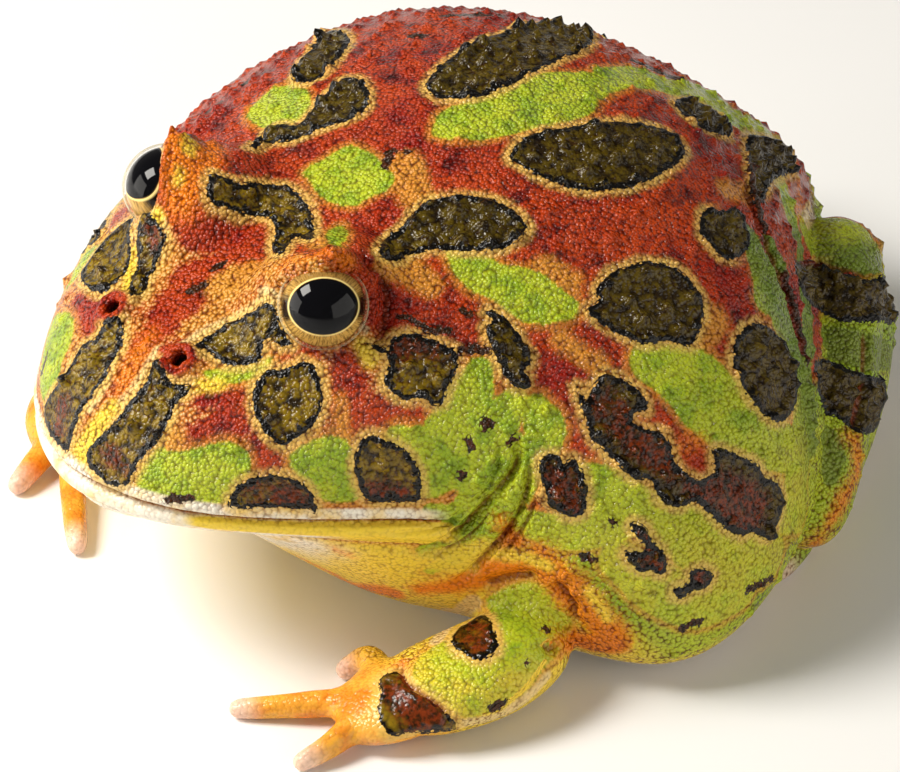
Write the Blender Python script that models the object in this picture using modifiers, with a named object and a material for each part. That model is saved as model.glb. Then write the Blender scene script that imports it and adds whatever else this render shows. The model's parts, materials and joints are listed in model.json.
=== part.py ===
"""A full-grown horned frog crouching on the floor, modelled life size.

The frog faces -Y and its own left side is +X. The floor is z = 0, and the
origin lies on the floor under the middle of the body. Shapes are given in
millimetres, with y counted from the line between the eyes, and are turned
into metres when their mesh is made.
"""
import math
import random
from collections import namedtuple

import bmesh
import bpy
from mathutils import Matrix, Vector
from mathutils.bvhtree import BVHTree

MM = 0.001
GAP = 0.3
EYES_TO_ORIGIN = 35.0
MERGE_METRES = 0.00001

# Head and trunk are one loft of cross sections, parted at the neck.
# A section is two half ovals that meet at the belt, its widest level.
# The powers say how square the upper and the lower oval are.
Section = namedtuple("Section", "y half_width crown belt keel upper lower")
SNOUT_TIP = (-26.4, 27.4)
RUMP_TIP = (95.5, 15.0)
SECTIONS = (
    Section(-25.2, 6.5, 32.6, 27.6, 23.0, 2.0, 1.8),
    Section(-22.5, 12.8, 36.6, 27.4, 20.0, 2.1, 1.6),
    Section(-18.5, 18.0, 40.0, 27.2, 17.5, 2.3, 1.5),
    Section(-13.0, 22.8, 43.4, 26.8, 15.5, 2.5, 1.45),
    Section(-7.0, 27.3, 46.0, 26.4, 10.5, 2.6, 1.6),
    Section(-1.0, 31.0, 48.0, 26.0, 5.0, 2.7, 2.2),
    Section(5.0, 34.8, 50.0, 25.0, 2.6, 2.6, 2.6),
    Section(11.0, 39.0, 52.2, 22.0, 1.8, 2.3, 2.8),
    Section(17.5, 48.5, 54.6, 12.5, 0.4, 2.1, 2.9),
    Section(24.0, 54.8, 57.0, 8.5, -0.5, 2.0, 3.0),
    Section(31.0, 56.8, 58.8, 8.0, -1.5, 2.0, 3.1),
    Section(39.0, 56.4, 59.8, 9.0, -1.5, 2.0, 3.1),
    Section(47.0, 54.0, 60.0, 11.0, -1.5, 2.0, 2.8),
    Section(55.0, 49.8, 58.2, 13.0, -1.5, 2.0, 2.6),
    Section(63.0, 43.0, 54.4, 15.0, -1.0, 2.0, 2.5),
    Section(71.0, 34.0, 48.8, 16.0, -0.5, 2.0, 2.4),
    Section(78.0, 25.5, 42.4, 16.5, 0.5, 2.0, 2.2),
    Section(84.0, 18.0, 36.0, 16.5, 2.0, 2.1, 2.1),
    Section(89.0, 12.0, 31.0, 16.0, 4.5, 2.2, 2.0),
    Section(93.0, 7.0, 25.5, 15.5, 8.0, 2.2, 2.0),
)
UPPER_STEPS = 6
LOWER_STEPS = 5
NECK_Y = 16.0
NECK_Z = 30.0
NECK_LEAN = math.radians(12.0)

# The closed mouth runs from corner to corner; this is its left half.
MOUTH_LINE = (
    (0.0, -26.2, 27.6), (7.6, -24.6, 27.6), (14.8, -20.6, 27.3), (21.6, -13.8, 26.8),
    (27.4, -6.0, 26.3), (32.2, 2.0, 25.7), (36.2, 9.6, 24.6),
)
MOUTH_DEPTH = 1.7
MOUTH_HALF_HEIGHT = 0.45
LIP_DROP = 2.1
LIP_INSET = 1.0
LIP_RADIUS = 1.7

EYE_CENTRE = Vector((16.6, 1.9, 49.5))
EYE_RADIUS = 5.8
EYE_AXIS = Vector((0.70, -0.40, 0.59)).normalized()
LID_CENTRE = Vector((15.6, 2.5, 49.9))
LID_RADIUS = 7.5
LID_OPENING = (5.4, 4.6)
BROW_CENTRE = Vector((12.6, 5.5, 44.0))
BROW_RADII = (10.5, 13.0, 10.6)
HORN_FOOT = Vector((16.0, 3.2, 54.0))
HORN_TIP = Vector((17.4, 2.8, 59.2))
HORN_RADIUS = 3.6
HORN_CUT_Z = 56.3
NOSTRIL = Vector((6.2, -13.8, 43.0))
NOSTRIL_RADIUS = 0.9
NOSTRIL_RIM_RADIUS = 2.0

# Limbs are lofts of ovals: x, y, z of the middle, half width, half height.
UPPER_ARM = (
    (29.0, 20.0, 13.0, 7.0, 7.5), (36.5, 18.0, 10.0, 7.2, 7.2), (41.8, 14.8, 6.8, 5.9, 6.2),
)
FOREARM = (
    (42.8, 12.4, 6.6, 5.9, 6.2), (42.2, 6.5, 6.2, 6.7, 6.2), (40.4, 0.8, 5.2, 7.0, 5.0),
    (38.9, -3.0, 4.6, 6.4, 4.2),
)
PALM_LEFT = (
    (38.6, -3.0, 4.2, 6.4, 4.0), (37.4, -7.0, 3.4, 6.6, 3.2), (36.6, -10.2, 2.6, 5.2, 2.4),
)
FINGERS_LEFT = (
    ((33.5, -3.5, 4.0, 2.4, 2.2), (29.4, -1.6, 4.1, 2.0, 2.0), (27.6, -4.2, 1.45, 1.5, 1.6)),
    ((34.0, -8.8, 2.8, 2.2, 2.2), (30.0, -14.0, 2.2, 1.5, 1.6), (25.2, -19.4, 1.35, 1.4, 1.5)),
    ((37.8, -10.5, 2.6, 2.2, 2.2), (38.9, -15.0, 2.1, 1.5, 1.6), (38.2, -19.2, 1.25, 1.4, 1.4)),
    ((42.0, -1.5, 2.8, 2.0, 2.2), (41.8, -5.6, 2.1, 1.6, 1.8), (40.2, -8.8, 1.35, 1.4, 1.5)),
)
PALM_RIGHT = (
    (-37.0, -0.5, 4.4, 6.2, 4.0), (-34.5, -3.6, 3.4, 6.4, 3.2), (-32.4, -6.0, 2.7, 5.0, 2.4),
)
FINGERS_RIGHT = (
    ((-31.5, -1.0, 3.4, 2.2, 2.2), (-27.5, -0.6, 2.7, 1.7, 1.8), (-23.6, -2.6, 1.35, 1.4, 1.5)),
    ((-30.5, -5.6, 2.8, 2.2, 2.2), (-22.2, -11.6, 2.5, 1.7, 1.8), (-14.6, -16.2, 1.45, 1.5, 1.6)),
    ((-33.4, -6.8, 2.8, 2.2, 2.2), (-31.6, -11.0, 2.3, 1.7, 1.8), (-30.1, -15.0, 1.45, 1.5, 1.6)),
    ((-37.5, -2.5, 2.8, 2.2, 2.2), (-41.0, -0.6, 2.1, 1.7, 1.8), (-43.4, 2.6, 1.35, 1.4, 1.5)),
)
FOREARM_RIGHT = (
    (-44.0, 14.0, 6.6, 6.4, 6.4), (-42.6, 8.5, 6.4, 6.6, 6.2), (-39.6, 3.5, 5.6, 6.0, 5.2),
    (-37.5, 0.2, 4.8, 5.4, 4.4),
)
THIGH = (
    (18.0, 75.0, 13.0, 9.5, 11.0), (31.5, 65.5, 12.0, 9.5, 10.0), (42.5, 56.0, 9.5, 7.0, 8.0),
)
SHANK = (
    (45.0, 58.0, 8.5, 6.2, 6.4), (39.0, 64.5, 12.8, 7.4, 7.6), (29.5, 74.5, 18.5, 7.8, 8.2),
    (22.0, 83.0, 23.0, 7.0, 7.2),
)
SOLE = (
    (20.5, 88.0, 12.0, 6.2, 6.0), (29.5, 78.5, 7.6, 6.2, 5.6), (36.8, 68.0, 4.6, 5.6, 4.4),
    (40.8, 60.5, 3.2, 5.0, 3.2), (42.0, 54.5, 2.4, 4.2, 2.4),
)
TOES = (
    ((38.6, 57.0, 2.4, 1.9, 1.9), (37.0, 51.0, 1.8, 1.5, 1.6), (36.8, 46.0, 1.25, 1.3, 1.4)),
    ((40.2, 54.5, 2.4, 1.9, 1.9), (39.4, 48.0, 1.8, 1.5, 1.6), (39.8, 42.5, 1.25, 1.3, 1.4)),
    ((42.2, 54.5, 2.4, 1.9, 1.9), (42.4, 47.5, 1.8, 1.5, 1.6), (42.8, 41.5, 1.25, 1.3, 1.4)),
    ((44.0, 55.5, 2.4, 1.9, 1.9), (44.8, 51.0, 1.8, 1.5, 1.6), (45.2, 46.0, 1.25, 1.3, 1.4)),
    ((44.4, 58.5, 2.4, 1.9, 1.9), (46.0, 55.4, 1.8, 1.5, 1.6), (46.8, 52.4, 1.25, 1.3, 1.4)),
)
LIMB_SIDES = 6
DIGIT_SIDES = 6
LIP_SIDES = 4

# Tubercles are low cones scattered over the skin.
WART_SEED = 7
WART_SIDES = 5
TRUNK_WARTS = 44
HEAD_WARTS = 10
WART_RADIUS = (1.0, 1.7)
WART_HEIGHT = (0.7, 1.3)
WART_SINK = 0.9
WART_SPACING = 6.0

SKIN_RED = (0.42, 0.09, 0.03)
SKIN_GREEN = (0.28, 0.36, 0.06)
SKIN_YELLOW = (0.75, 0.48, 0.12)
HAND_CREAM = (0.80, 0.62, 0.36)
EYE_BLACK = (0.02, 0.018, 0.015)


def place(point):
    """A point in millimetres from the eye line, as metres from the origin."""
    x, y, z = point
    return Vector((x, y - EYES_TO_ORIGIN, z)) * MM


def mirrored(sections):
    """The same limb on the other side."""
    return tuple((-section[0],) + tuple(section[1:]) for section in sections)


def make_material(name, colour, roughness):
    """A plain Principled finish for one piece."""
    material = bpy.data.materials.new(name)
    material.use_nodes = True
    shader = material.node_tree.nodes["Principled BSDF"]
    shader.inputs["Base Color"].default_value = (*colour, 1.0)
    shader.inputs["Roughness"].default_value = roughness
    shader.inputs["Metallic"].default_value = 0.0
    return material


def add_mesh(name, points, faces, collection):
    """A mesh object from points in millimetres."""
    mesh = bpy.data.meshes.new(name)
    mesh.from_pydata([place(point) for point in points], [], faces)
    mesh.update()
    obj = bpy.data.objects.new(name, mesh)
    collection.objects.link(obj)
    return obj


def settle(obj):
    """Turn the object's modifiers into its mesh."""
    depsgraph = bpy.context.evaluated_depsgraph_get()
    mesh = bpy.data.meshes.new_from_object(obj.evaluated_get(depsgraph))
    old = obj.data
    obj.modifiers.clear()
    obj.data = mesh
    bpy.data.meshes.remove(old)


def remove(obj):
    bpy.data.objects.remove(obj, do_unlink=True)


def duplicate(obj, name, collection):
    copy = bpy.data.objects.new(name, obj.data.copy())
    copy.matrix_world = obj.matrix_world.copy()
    collection.objects.link(copy)
    return copy


def keep_largest_surface(obj):
    """Drop loose scraps and sealed bubbles that a cut or a union leaves."""
    shape = bmesh.new()
    shape.from_mesh(obj.data)
    unseen = set(shape.verts)
    islands = []
    while unseen:
        stack = [unseen.pop()]
        island = set(stack)
        while stack:
            for edge in stack.pop().link_edges:
                for vert in edge.verts:
                    if vert in unseen:
                        unseen.discard(vert)
                        island.add(vert)
                        stack.append(vert)
        islands.append(island)
    islands.sort(key=len, reverse=True)
    for island in islands[1:]:
        bmesh.ops.delete(shape, geom=list(island), context="VERTS")
    shape.to_mesh(obj.data)
    shape.free()


def boolean(obj, operation, other, solver="EXACT"):
    """Cut or intersect with one object and keep the result."""
    modifier = obj.modifiers.new("boolean", "BOOLEAN")
    modifier.operation = operation
    modifier.solver = solver
    modifier.object = other
    settle(obj)
    keep_largest_surface(obj)


def combine(obj, collection, operation="UNION", solver="EXACT"):
    """Join a whole collection to the object, or cut it out, then remove it."""
    modifier = obj.modifiers.new("combine", "BOOLEAN")
    modifier.operation = operation
    modifier.solver = solver
    modifier.operand_type = "COLLECTION"
    modifier.collection = collection
    settle(obj)
    for piece in list(collection.objects):
        remove(piece)
    keep_largest_surface(obj)


def subdivide(obj, levels):
    modifier = obj.modifiers.new("smooth", "SUBSURF")
    modifier.levels = levels
    modifier.render_levels = levels
    settle(obj)


def fullness(sides, smooth=True):
    """How much a ring is widened, so that its smooth or flat-sided form is true."""
    if smooth:
        return 3.0 / (2.0 + math.cos(2.0 * math.pi / sides))
    return 1.0 / math.cos(math.pi / sides)


def half_section(section):
    """One cross section on the left side, from the crown down to the keel."""
    wider = fullness(2 * (UPPER_STEPS + LOWER_STEPS))
    points = []
    for step in range(-UPPER_STEPS, LOWER_STEPS + 1):
        upper = step < 0
        steps = UPPER_STEPS if upper else LOWER_STEPS
        power = 2.0 / (section.upper if upper else section.lower)
        reach = section.crown - section.belt if upper else section.keel - section.belt
        angle = math.radians(90.0 * abs(step) / steps)
        x = section.half_width * wider * max(math.cos(angle), 0.0) ** power
        z = section.belt + reach * math.sin(angle) ** power
        points.append((x if abs(step) < steps else 0.0, section.y, z))
    return points


def body_loft(collection):
    """Head and trunk in one smooth skin, closed at the snout and the rump."""
    rings = [half_section(section) for section in SECTIONS]
    count = len(rings[0])
    points = [point for ring in rings for point in ring]
    snout = len(points)
    points.append((0.0, SNOUT_TIP[0], SNOUT_TIP[1]))
    rump = len(points)
    points.append((0.0, RUMP_TIP[0], RUMP_TIP[1]))
    faces = []
    for row in range(len(rings) - 1):
        for column in range(count - 1):
            first = row * count + column
            faces.append((first, first + 1, first + count + 1, first + count))
    last_row = (len(rings) - 1) * count
    for column in range(count - 1):
        faces.append((snout, column + 1, column))
        faces.append((rump, last_row + column, last_row + column + 1))
    body = add_mesh("body", points, faces, collection)
    mirror = body.modifiers.new("mirror", "MIRROR")
    mirror.merge_threshold = MERGE_METRES
    settle(body)
    subdivide(body, 1)
    return body


def oval_loft(name, sections, sides, collection, grow=0.0, levels=1, round_root=True):
    """A limb or digit: ovals along a bent line, rounded at both ends."""
    wider = fullness(sides, levels > 0)
    middles = [Vector(section[:3]) for section in sections]
    rings = []
    poles = []
    for index, section in enumerate(sections):
        ahead = middles[min(index + 1, len(middles) - 1)]
        behind = middles[max(index - 1, 0)]
        along = (ahead - behind).normalized()
        side = along.cross(Vector((0.0, 0.0, 1.0))).normalized()
        top = side.cross(along)
        width = (section[3] + grow) * wider
        height = (section[4] + grow) * wider
        depth = min(section[3], section[4]) + grow
        rows = [(0.0, 1.0)]
        if index == 0:
            rows = [(-0.7 * depth, 0.72), (0.0, 1.0)] if round_root else [(0.0, 1.0)]
            poles.append(middles[0] - along * depth * 1.05)
        if index == len(sections) - 1:
            rows = [(0.0, 1.0), (0.7 * depth, 0.72)]
            poles.append(middles[-1] + along * depth * 1.05)
        for shift, scale in rows:
            ring = []
            for corner in range(sides):
                angle = 2.0 * math.pi * corner / sides
                out = side * width * math.cos(angle) + top * height * math.sin(angle)
                ring.append(middles[index] + along * shift + out * scale)
            rings.append(ring)
    points = [point for ring in rings for point in ring] + poles
    first_pole = len(points) - 2
    last_pole = len(points) - 1
    last_row = (len(rings) - 1) * sides
    faces = []
    for row in range(len(rings) - 1):
        for corner in range(sides):
            here = row * sides + corner
            beside = row * sides + (corner + 1) % sides
            faces.append((here, beside, beside + sides, here + sides))
    for corner in range(sides):
        beside = (corner + 1) % sides
        faces.append((first_pole, beside, corner))
        faces.append((last_pole, last_row + corner, last_row + beside))
    limb = add_mesh(name, points, faces, collection)
    turn_outward(limb)
    if levels:
        subdivide(limb, levels)
    return limb


def turn_outward(obj):
    shape = bmesh.new()
    shape.from_mesh(obj.data)
    bmesh.ops.recalc_face_normals(shape, faces=shape.faces)
    shape.to_mesh(obj.data)
    shape.free()


def primitive(name, make, middle, collection, axis=Vector((0.0, 0.0, 1.0)), **sizes):
    """A bmesh primitive with its own +Z laid along an axis."""
    shape = bmesh.new()
    make(shape, **{key: value for key, value in sizes.items() if key != "oval"})
    if "oval" in sizes:
        bmesh.ops.scale(shape, vec=sizes["oval"], verts=shape.verts)
    turn = axis.to_track_quat("Z", "Y").to_matrix().to_4x4()
    shape.transform(Matrix.Translation(place(middle)) @ turn)
    mesh = bpy.data.meshes.new(name)
    shape.to_mesh(mesh)
    shape.free()
    obj = bpy.data.objects.new(name, mesh)
    collection.objects.link(obj)
    return obj


def ball(name, middle, radius, collection, segments=16, rings=10, axis=Vector((0.0, 0.0, 1.0))):
    return primitive(name, bmesh.ops.create_uvsphere, middle, collection, axis,
                     u_segments=segments, v_segments=rings, radius=radius * MM)


def mound(name, middle, radii, collection):
    """An egg shape that lies level, with a radius for each direction."""
    return primitive(name, bmesh.ops.create_uvsphere, middle, collection,
                     u_segments=16, v_segments=10, radius=MM, oval=radii)


def cone(name, foot, tip, radius, tip_radius, sides, collection, oval=(1.0, 1.0, 1.0)):
    """A cone or cylinder that stands on foot and points at tip."""
    foot, tip = Vector(foot), Vector(tip)
    return primitive(name, bmesh.ops.create_cone, (foot + tip) / 2.0, collection, tip - foot,
                     cap_ends=True, segments=sides, radius1=radius * MM,
                     radius2=tip_radius * MM, depth=(tip - foot).length * MM, oval=oval)


def box(name, low, high, collection, turn=Matrix()):
    """A box between two corners, turned about its own middle."""
    low, high = Vector(low), Vector(high)
    shape = bmesh.new()
    bmesh.ops.create_cube(shape, size=MM)
    bmesh.ops.scale(shape, vec=high - low, verts=shape.verts)
    shape.transform(Matrix.Translation(place((low + high) / 2.0)) @ turn)
    mesh = bpy.data.meshes.new(name)
    shape.to_mesh(mesh)
    shape.free()
    obj = bpy.data.objects.new(name, mesh)
    collection.objects.link(obj)
    return obj


def flip(point):
    """The same place on the other side of the body."""
    return Vector((-point[0], point[1], point[2]))


def mouth_points():
    """The mouth line from the right corner round the snout to the left."""
    left = [Vector(point) for point in MOUTH_LINE]
    return [flip(point) for point in reversed(left[1:])] + left


def mouth_groove(collection):
    """A thin curved wedge that cuts the line between the lips."""
    sections = []
    line = mouth_points()
    for index, point in enumerate(line):
        corner = index in (0, len(line) - 1)
        depth = MOUTH_DEPTH * (0.5 if corner else 1.0)
        sections.append((*point, depth, MOUTH_HALF_HEIGHT))
    return oval_loft("mouth_groove", sections, LIP_SIDES, collection)


def lower_lip(collection):
    """The rim of the lower jaw, a soft roll just under the mouth line."""
    sections = []
    for point in mouth_points():
        inward = (Vector((0.0, 12.0, point.z)) - point).normalized()
        middle = point + inward * LIP_INSET - Vector((0.0, 0.0, LIP_DROP))
        sections.append((*middle, LIP_RADIUS, LIP_RADIUS))
    return oval_loft("lower_lip", sections, LIP_SIDES, collection)


def shape_face(body, scrap, growths):
    """Lids, brow horns, lips and nostrils on the plain loft."""
    for turn in (Vector, flip):
        mound("brow", turn(BROW_CENTRE), BROW_RADII, growths)
        ball("lid", turn(LID_CENTRE), LID_RADIUS, growths, axis=turn(EYE_AXIS))
        cone("horn", turn(HORN_FOOT), turn(HORN_TIP), HORN_RADIUS, 0.25, 8, growths)
        ball("nostril_rim", turn(NOSTRIL), NOSTRIL_RIM_RADIUS, growths, 10, 6)
    combine(body, growths)
    lower_lip(growths)
    combine(body, growths)
    for turn in (Vector, flip):
        eye, axis, nostril = turn(EYE_CENTRE), turn(EYE_AXIS), turn(NOSTRIL)
        opening = cone("opening", eye, eye + axis * 12.0, 1.0, 1.0, 20, scrap,
                       (LID_OPENING[0], LID_OPENING[1], 1.0))
        boolean(body, "DIFFERENCE", opening)
        boolean(body, "DIFFERENCE", ball("socket", eye, EYE_RADIUS + GAP, scrap, axis=axis))
        outward = turn(Vector((0.55, -0.35, 0.75))).normalized()
        pit = cone("nostril", nostril - outward * 0.5, nostril + outward * 4.0,
                   NOSTRIL_RADIUS, NOSTRIL_RADIUS, 8, scrap)
        boolean(body, "DIFFERENCE", pit)
    boolean(body, "DIFFERENCE", mouth_groove(scrap))


def surface_tree(obj):
    depsgraph = bpy.context.evaluated_depsgraph_get()
    return BVHTree.FromObject(obj, depsgraph)


def trunk_rays(draw, low_y, high_y, low_angle):
    """Endless lines from inside the body out through its upper side."""
    while True:
        y = draw.uniform(low_y, high_y)
        angle = math.radians(draw.uniform(low_angle, 180.0 - low_angle))
        yield Vector((0.0, y, 20.0)), Vector((math.cos(angle), 0.0, math.sin(angle)))


def add_warts(obj, rays, count, draw, growths):
    """Fuse cones to the skin where the lines come out of it."""
    tree = surface_tree(obj)
    taken = []
    for start, direction in rays:
        if len(taken) == count:
            break
        spot, normal, _, _ = tree.ray_cast(place(start), direction)
        if spot is None or any((spot - other).length < WART_SPACING * MM for other in taken):
            continue
        taken.append(spot)
        middle = spot / MM + Vector((0.0, EYES_TO_ORIGIN, 0.0))
        height = draw.uniform(*WART_HEIGHT)
        radius = draw.uniform(*WART_RADIUS) * (height + WART_SINK) / height
        cone("wart", middle - normal * WART_SINK, middle + normal * height, radius,
             0.12 * radius, WART_SIDES, growths)
    combine(obj, growths)


def half_space(name, behind, scrap):
    """Everything in front of, or behind, the leaning plane of the neck."""
    reach = 200.0
    offset = GAP / 2.0
    low_y, high_y = (-offset, reach) if behind else (-reach, offset)
    half = box(name, (-reach, low_y, -reach), (reach, high_y, reach), scrap)
    lean = Matrix.Rotation(-NECK_LEAN, 4, "X")
    pivot = place((0.0, NECK_Y, NECK_Z))
    move = Matrix.Translation(pivot) @ lean @ Matrix.Translation(-place((0.0, 0.0, 0.0)))
    half.data.transform(move)
    return half


def part_head_from_trunk(body, scrap, frog):
    """Two nodes from one body, with a thin gap between their faces."""
    head = duplicate(body, "head", frog)
    torso = duplicate(body, "torso", frog)
    boolean(head, "DIFFERENCE", half_space("behind_neck", True, scrap))
    boolean(torso, "DIFFERENCE", half_space("before_neck", False, scrap))
    return head, torso


def part_horns(head, scrap, frog):
    """The tips of the brow horns become nodes of their own."""
    horns = []
    for side, turn in (("left", Vector), ("right", flip)):
        middle = turn(HORN_TIP)
        around = Vector((6.0, 6.0, 0.0))
        low, high = middle - around, middle + around
        low.z, high.z = HORN_CUT_Z + GAP, 80.0
        horn = duplicate(head, f"{side}_horn", frog)
        boolean(horn, "INTERSECT", box("horn_room", low, high, scrap))
        low.z = HORN_CUT_Z
        boolean(head, "DIFFERENCE", box("horn_cut", low, high, scrap))
        horns.append(horn)
    return horns


def limb_with_digits(name, palm, digits, scrap, growths, frog):
    """A hand or a foot: the palm or sole with its digits fused on."""
    limb = oval_loft(name, palm, LIMB_SIDES, frog)
    for number, digit in enumerate(digits, 1):
        oval_loft(f"digit_{number}", digit, DIGIT_SIDES, growths, levels=0, round_root=False)
    combine(limb, growths)
    return limb


def grown(name, sections, scrap):
    """A limb made larger by the gap, to cut its room out of a neighbour."""
    return oval_loft(name, sections, LIMB_SIDES, scrap, grow=GAP)


def build_side(side, limbs, scrap, growths, frog):
    """All limb nodes of one side, each cut clear of the one before it."""
    arm = oval_loft(f"{side}_upper_arm", limbs["upper_arm"], LIMB_SIDES, frog)
    forearm = oval_loft(f"{side}_forearm", limbs["forearm"], LIMB_SIDES, frog)
    boolean(forearm, "DIFFERENCE", grown("arm_room", limbs["upper_arm"], scrap))
    hand = limb_with_digits(f"{side}_hand", limbs["palm"], limbs["fingers"], scrap, growths, frog)
    boolean(hand, "DIFFERENCE", grown("forearm_room", limbs["forearm"], scrap))
    thigh = oval_loft(f"{side}_thigh", limbs["thigh"], LIMB_SIDES, frog)
    shank = oval_loft(f"{side}_shank", limbs["shank"], LIMB_SIDES, frog)
    boolean(thigh, "DIFFERENCE", grown("shank_room", limbs["shank"], scrap))
    foot = limb_with_digits(f"{side}_foot", limbs["sole"], limbs["toes"], scrap, growths, frog)
    boolean(foot, "DIFFERENCE", grown("shank_room", limbs["shank"], scrap))
    boolean(foot, "DIFFERENCE", grown("thigh_room", limbs["thigh"], scrap))
    return [arm, forearm, hand, thigh, shank, foot]


def press_limbs_into(torso, limbs, growths):
    """Cut room for the limbs, a little larger than they are, out of the trunk."""
    for name in ("upper_arm", "forearm", "thigh", "shank", "sole"):
        grown(f"{name}_room", limbs[name], growths)
    for toe in limbs["toes"]:
        oval_loft("toe_room", toe, DIGIT_SIDES, growths, grow=GAP, levels=0)
    combine(torso, growths, "DIFFERENCE", "MANIFOLD")


def finish_node(obj, material, floor):
    """Rest the node on the floor, give it its material and shade it."""
    boolean(obj, "DIFFERENCE", floor)
    obj.data.materials.clear()
    obj.data.materials.append(material)
    obj.data.shade_smooth()
    obj.data.set_sharp_from_angle(angle=math.radians(50.0))


def build():
    for obj in list(bpy.data.objects):
        bpy.data.objects.remove(obj, do_unlink=True)
    collections = []
    for name in ("horned_frog", "scrap", "growths"):
        collection = bpy.data.collections.new(name)
        bpy.context.scene.collection.children.link(collection)
        collections.append(collection)
    frog, scrap, growths = collections
    draw = random.Random(WART_SEED)

    body = body_loft(scrap)
    add_warts(body, trunk_rays(draw, 20.0, 90.0, 14.0), TRUNK_WARTS, draw, growths)
    add_warts(body, trunk_rays(draw, 8.0, 14.0, 12.0), HEAD_WARTS, draw, growths)
    shape_face(body, scrap, growths)
    head, torso = part_head_from_trunk(body, scrap, frog)
    horns = part_horns(head, scrap, frog)

    left = {"upper_arm": UPPER_ARM, "forearm": FOREARM, "palm": PALM_LEFT,
            "fingers": FINGERS_LEFT, "thigh": THIGH, "shank": SHANK, "sole": SOLE, "toes": TOES}
    right = {"upper_arm": mirrored(UPPER_ARM), "forearm": FOREARM_RIGHT, "palm": PALM_RIGHT,
             "fingers": FINGERS_RIGHT, "thigh": mirrored(THIGH), "shank": mirrored(SHANK),
             "sole": mirrored(SOLE), "toes": tuple(mirrored(toe) for toe in TOES)}
    nodes = [head, torso] + horns
    for side, limbs in (("left", left), ("right", right)):
        nodes += build_side(side, limbs, scrap, growths, frog)
        press_limbs_into(torso, limbs, growths)
        for name in ("upper_arm", "forearm"):
            boolean(head, "DIFFERENCE", grown(f"{name}_room", limbs[name], scrap))
    for side, turn in (("left", Vector), ("right", flip)):
        nodes.append(ball(f"{side}_eye", turn(EYE_CENTRE), EYE_RADIUS, frog, axis=turn(EYE_AXIS)))

    looks = {
        "head": make_material("head_skin", SKIN_RED, 0.35),
        "torso": make_material("trunk_skin", SKIN_RED, 0.35),
        "horn": make_material("horn_skin", SKIN_YELLOW, 0.4),
        "hand": make_material("hand_skin", HAND_CREAM, 0.35),
        "eye": make_material("eye", EYE_BLACK, 0.05),
        "limb": make_material("limb_skin", SKIN_GREEN, 0.35),
    }
    floor = box("floor", (-200.0, -200.0, -40.0), (200.0, 200.0, 0.0), scrap)
    for node in nodes:
        kind = node.name.split("_")[-1]
        finish_node(node, looks.get(kind, looks["limb"]), floor)
    for piece in list(scrap.objects):
        remove(piece)
    for collection in (scrap, growths):
        bpy.data.collections.remove(collection)


build()
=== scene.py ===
# %% [markdown]
# # A horned frog in wet skin
# The solids of the frog are plain: smooth lofts with thin gaps where the head
# and the limbs begin. A real frog has one skin without a seam, covered in
# granules and tubercles, and it is painted with blotches that have a black
# rim. This lesson grows that skin over the solids, sculpts it with small moves
# of its points, and colours it with distances measured on the skin itself.

# %% Load the plain solids
import json
import math
import random

import bmesh
import bpy
import numpy as np
from mathutils import Matrix, Vector
from mathutils.bvhtree import BVHTree
from mathutils.kdtree import KDTree

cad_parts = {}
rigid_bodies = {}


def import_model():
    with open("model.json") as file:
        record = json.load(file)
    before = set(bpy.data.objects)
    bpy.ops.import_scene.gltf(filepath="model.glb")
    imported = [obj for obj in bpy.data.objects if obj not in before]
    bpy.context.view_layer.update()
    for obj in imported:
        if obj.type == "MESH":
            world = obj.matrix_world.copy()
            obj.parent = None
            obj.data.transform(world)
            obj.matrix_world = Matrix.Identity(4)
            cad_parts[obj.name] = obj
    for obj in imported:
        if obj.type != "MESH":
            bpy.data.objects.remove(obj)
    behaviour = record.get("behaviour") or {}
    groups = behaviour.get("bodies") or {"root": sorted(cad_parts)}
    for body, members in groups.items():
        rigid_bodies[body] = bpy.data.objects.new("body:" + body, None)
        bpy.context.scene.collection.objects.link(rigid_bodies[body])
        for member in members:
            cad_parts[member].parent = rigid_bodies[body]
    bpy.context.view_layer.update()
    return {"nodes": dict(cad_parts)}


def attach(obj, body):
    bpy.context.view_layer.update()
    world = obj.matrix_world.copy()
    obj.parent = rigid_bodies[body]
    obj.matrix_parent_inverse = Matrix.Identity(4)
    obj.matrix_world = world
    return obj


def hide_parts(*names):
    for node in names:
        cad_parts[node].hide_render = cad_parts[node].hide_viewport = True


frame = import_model()

# %% [markdown]
# ## Units and the camera
# Every table below is in millimetres, with y counted from the line between the
# eyes. The camera comes first, because the blotches are laid out as it sees
# them: each corner of a blotch is a place in the picture, and a ray from the
# camera finds the skin behind it. A long lens keeps the body from bulging.

# %% Place the camera
MM = 0.001
EYES_TO_ORIGIN = 35.0
AZIMUTH, ELEVATION, DISTANCE = 51.5, 36.5, 656.0
LENS, SENSOR = 200.0, 36.0
PICTURE_WIDTH, PICTURE_HEIGHT = 900, 772
LOOK_AT, LOOK_LEFT, LOOK_DOWN = (0.0, 35.0, 28.0), 0.3, 12.7

azimuth, elevation = math.radians(AZIMUTH), math.radians(ELEVATION)
VIEW_BACK = np.array([math.sin(azimuth) * math.cos(elevation),
                      -math.cos(azimuth) * math.cos(elevation), math.sin(elevation)])
VIEW_RIGHT = np.array([math.cos(azimuth), math.sin(azimuth), 0.0])
VIEW_UP = np.cross(VIEW_BACK, VIEW_RIGHT)
EYE_POINT = (np.array(LOOK_AT) - LOOK_LEFT * VIEW_RIGHT - LOOK_DOWN * VIEW_UP
             + DISTANCE * VIEW_BACK)
PIXELS_PER_SLOPE = LENS / SENSOR * PICTURE_WIDTH


def to_metres(points):
    """Millimetres from the eye line, as metres from the origin."""
    return (np.asarray(points, float) - (0.0, EYES_TO_ORIGIN, 0.0)) * MM


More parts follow.
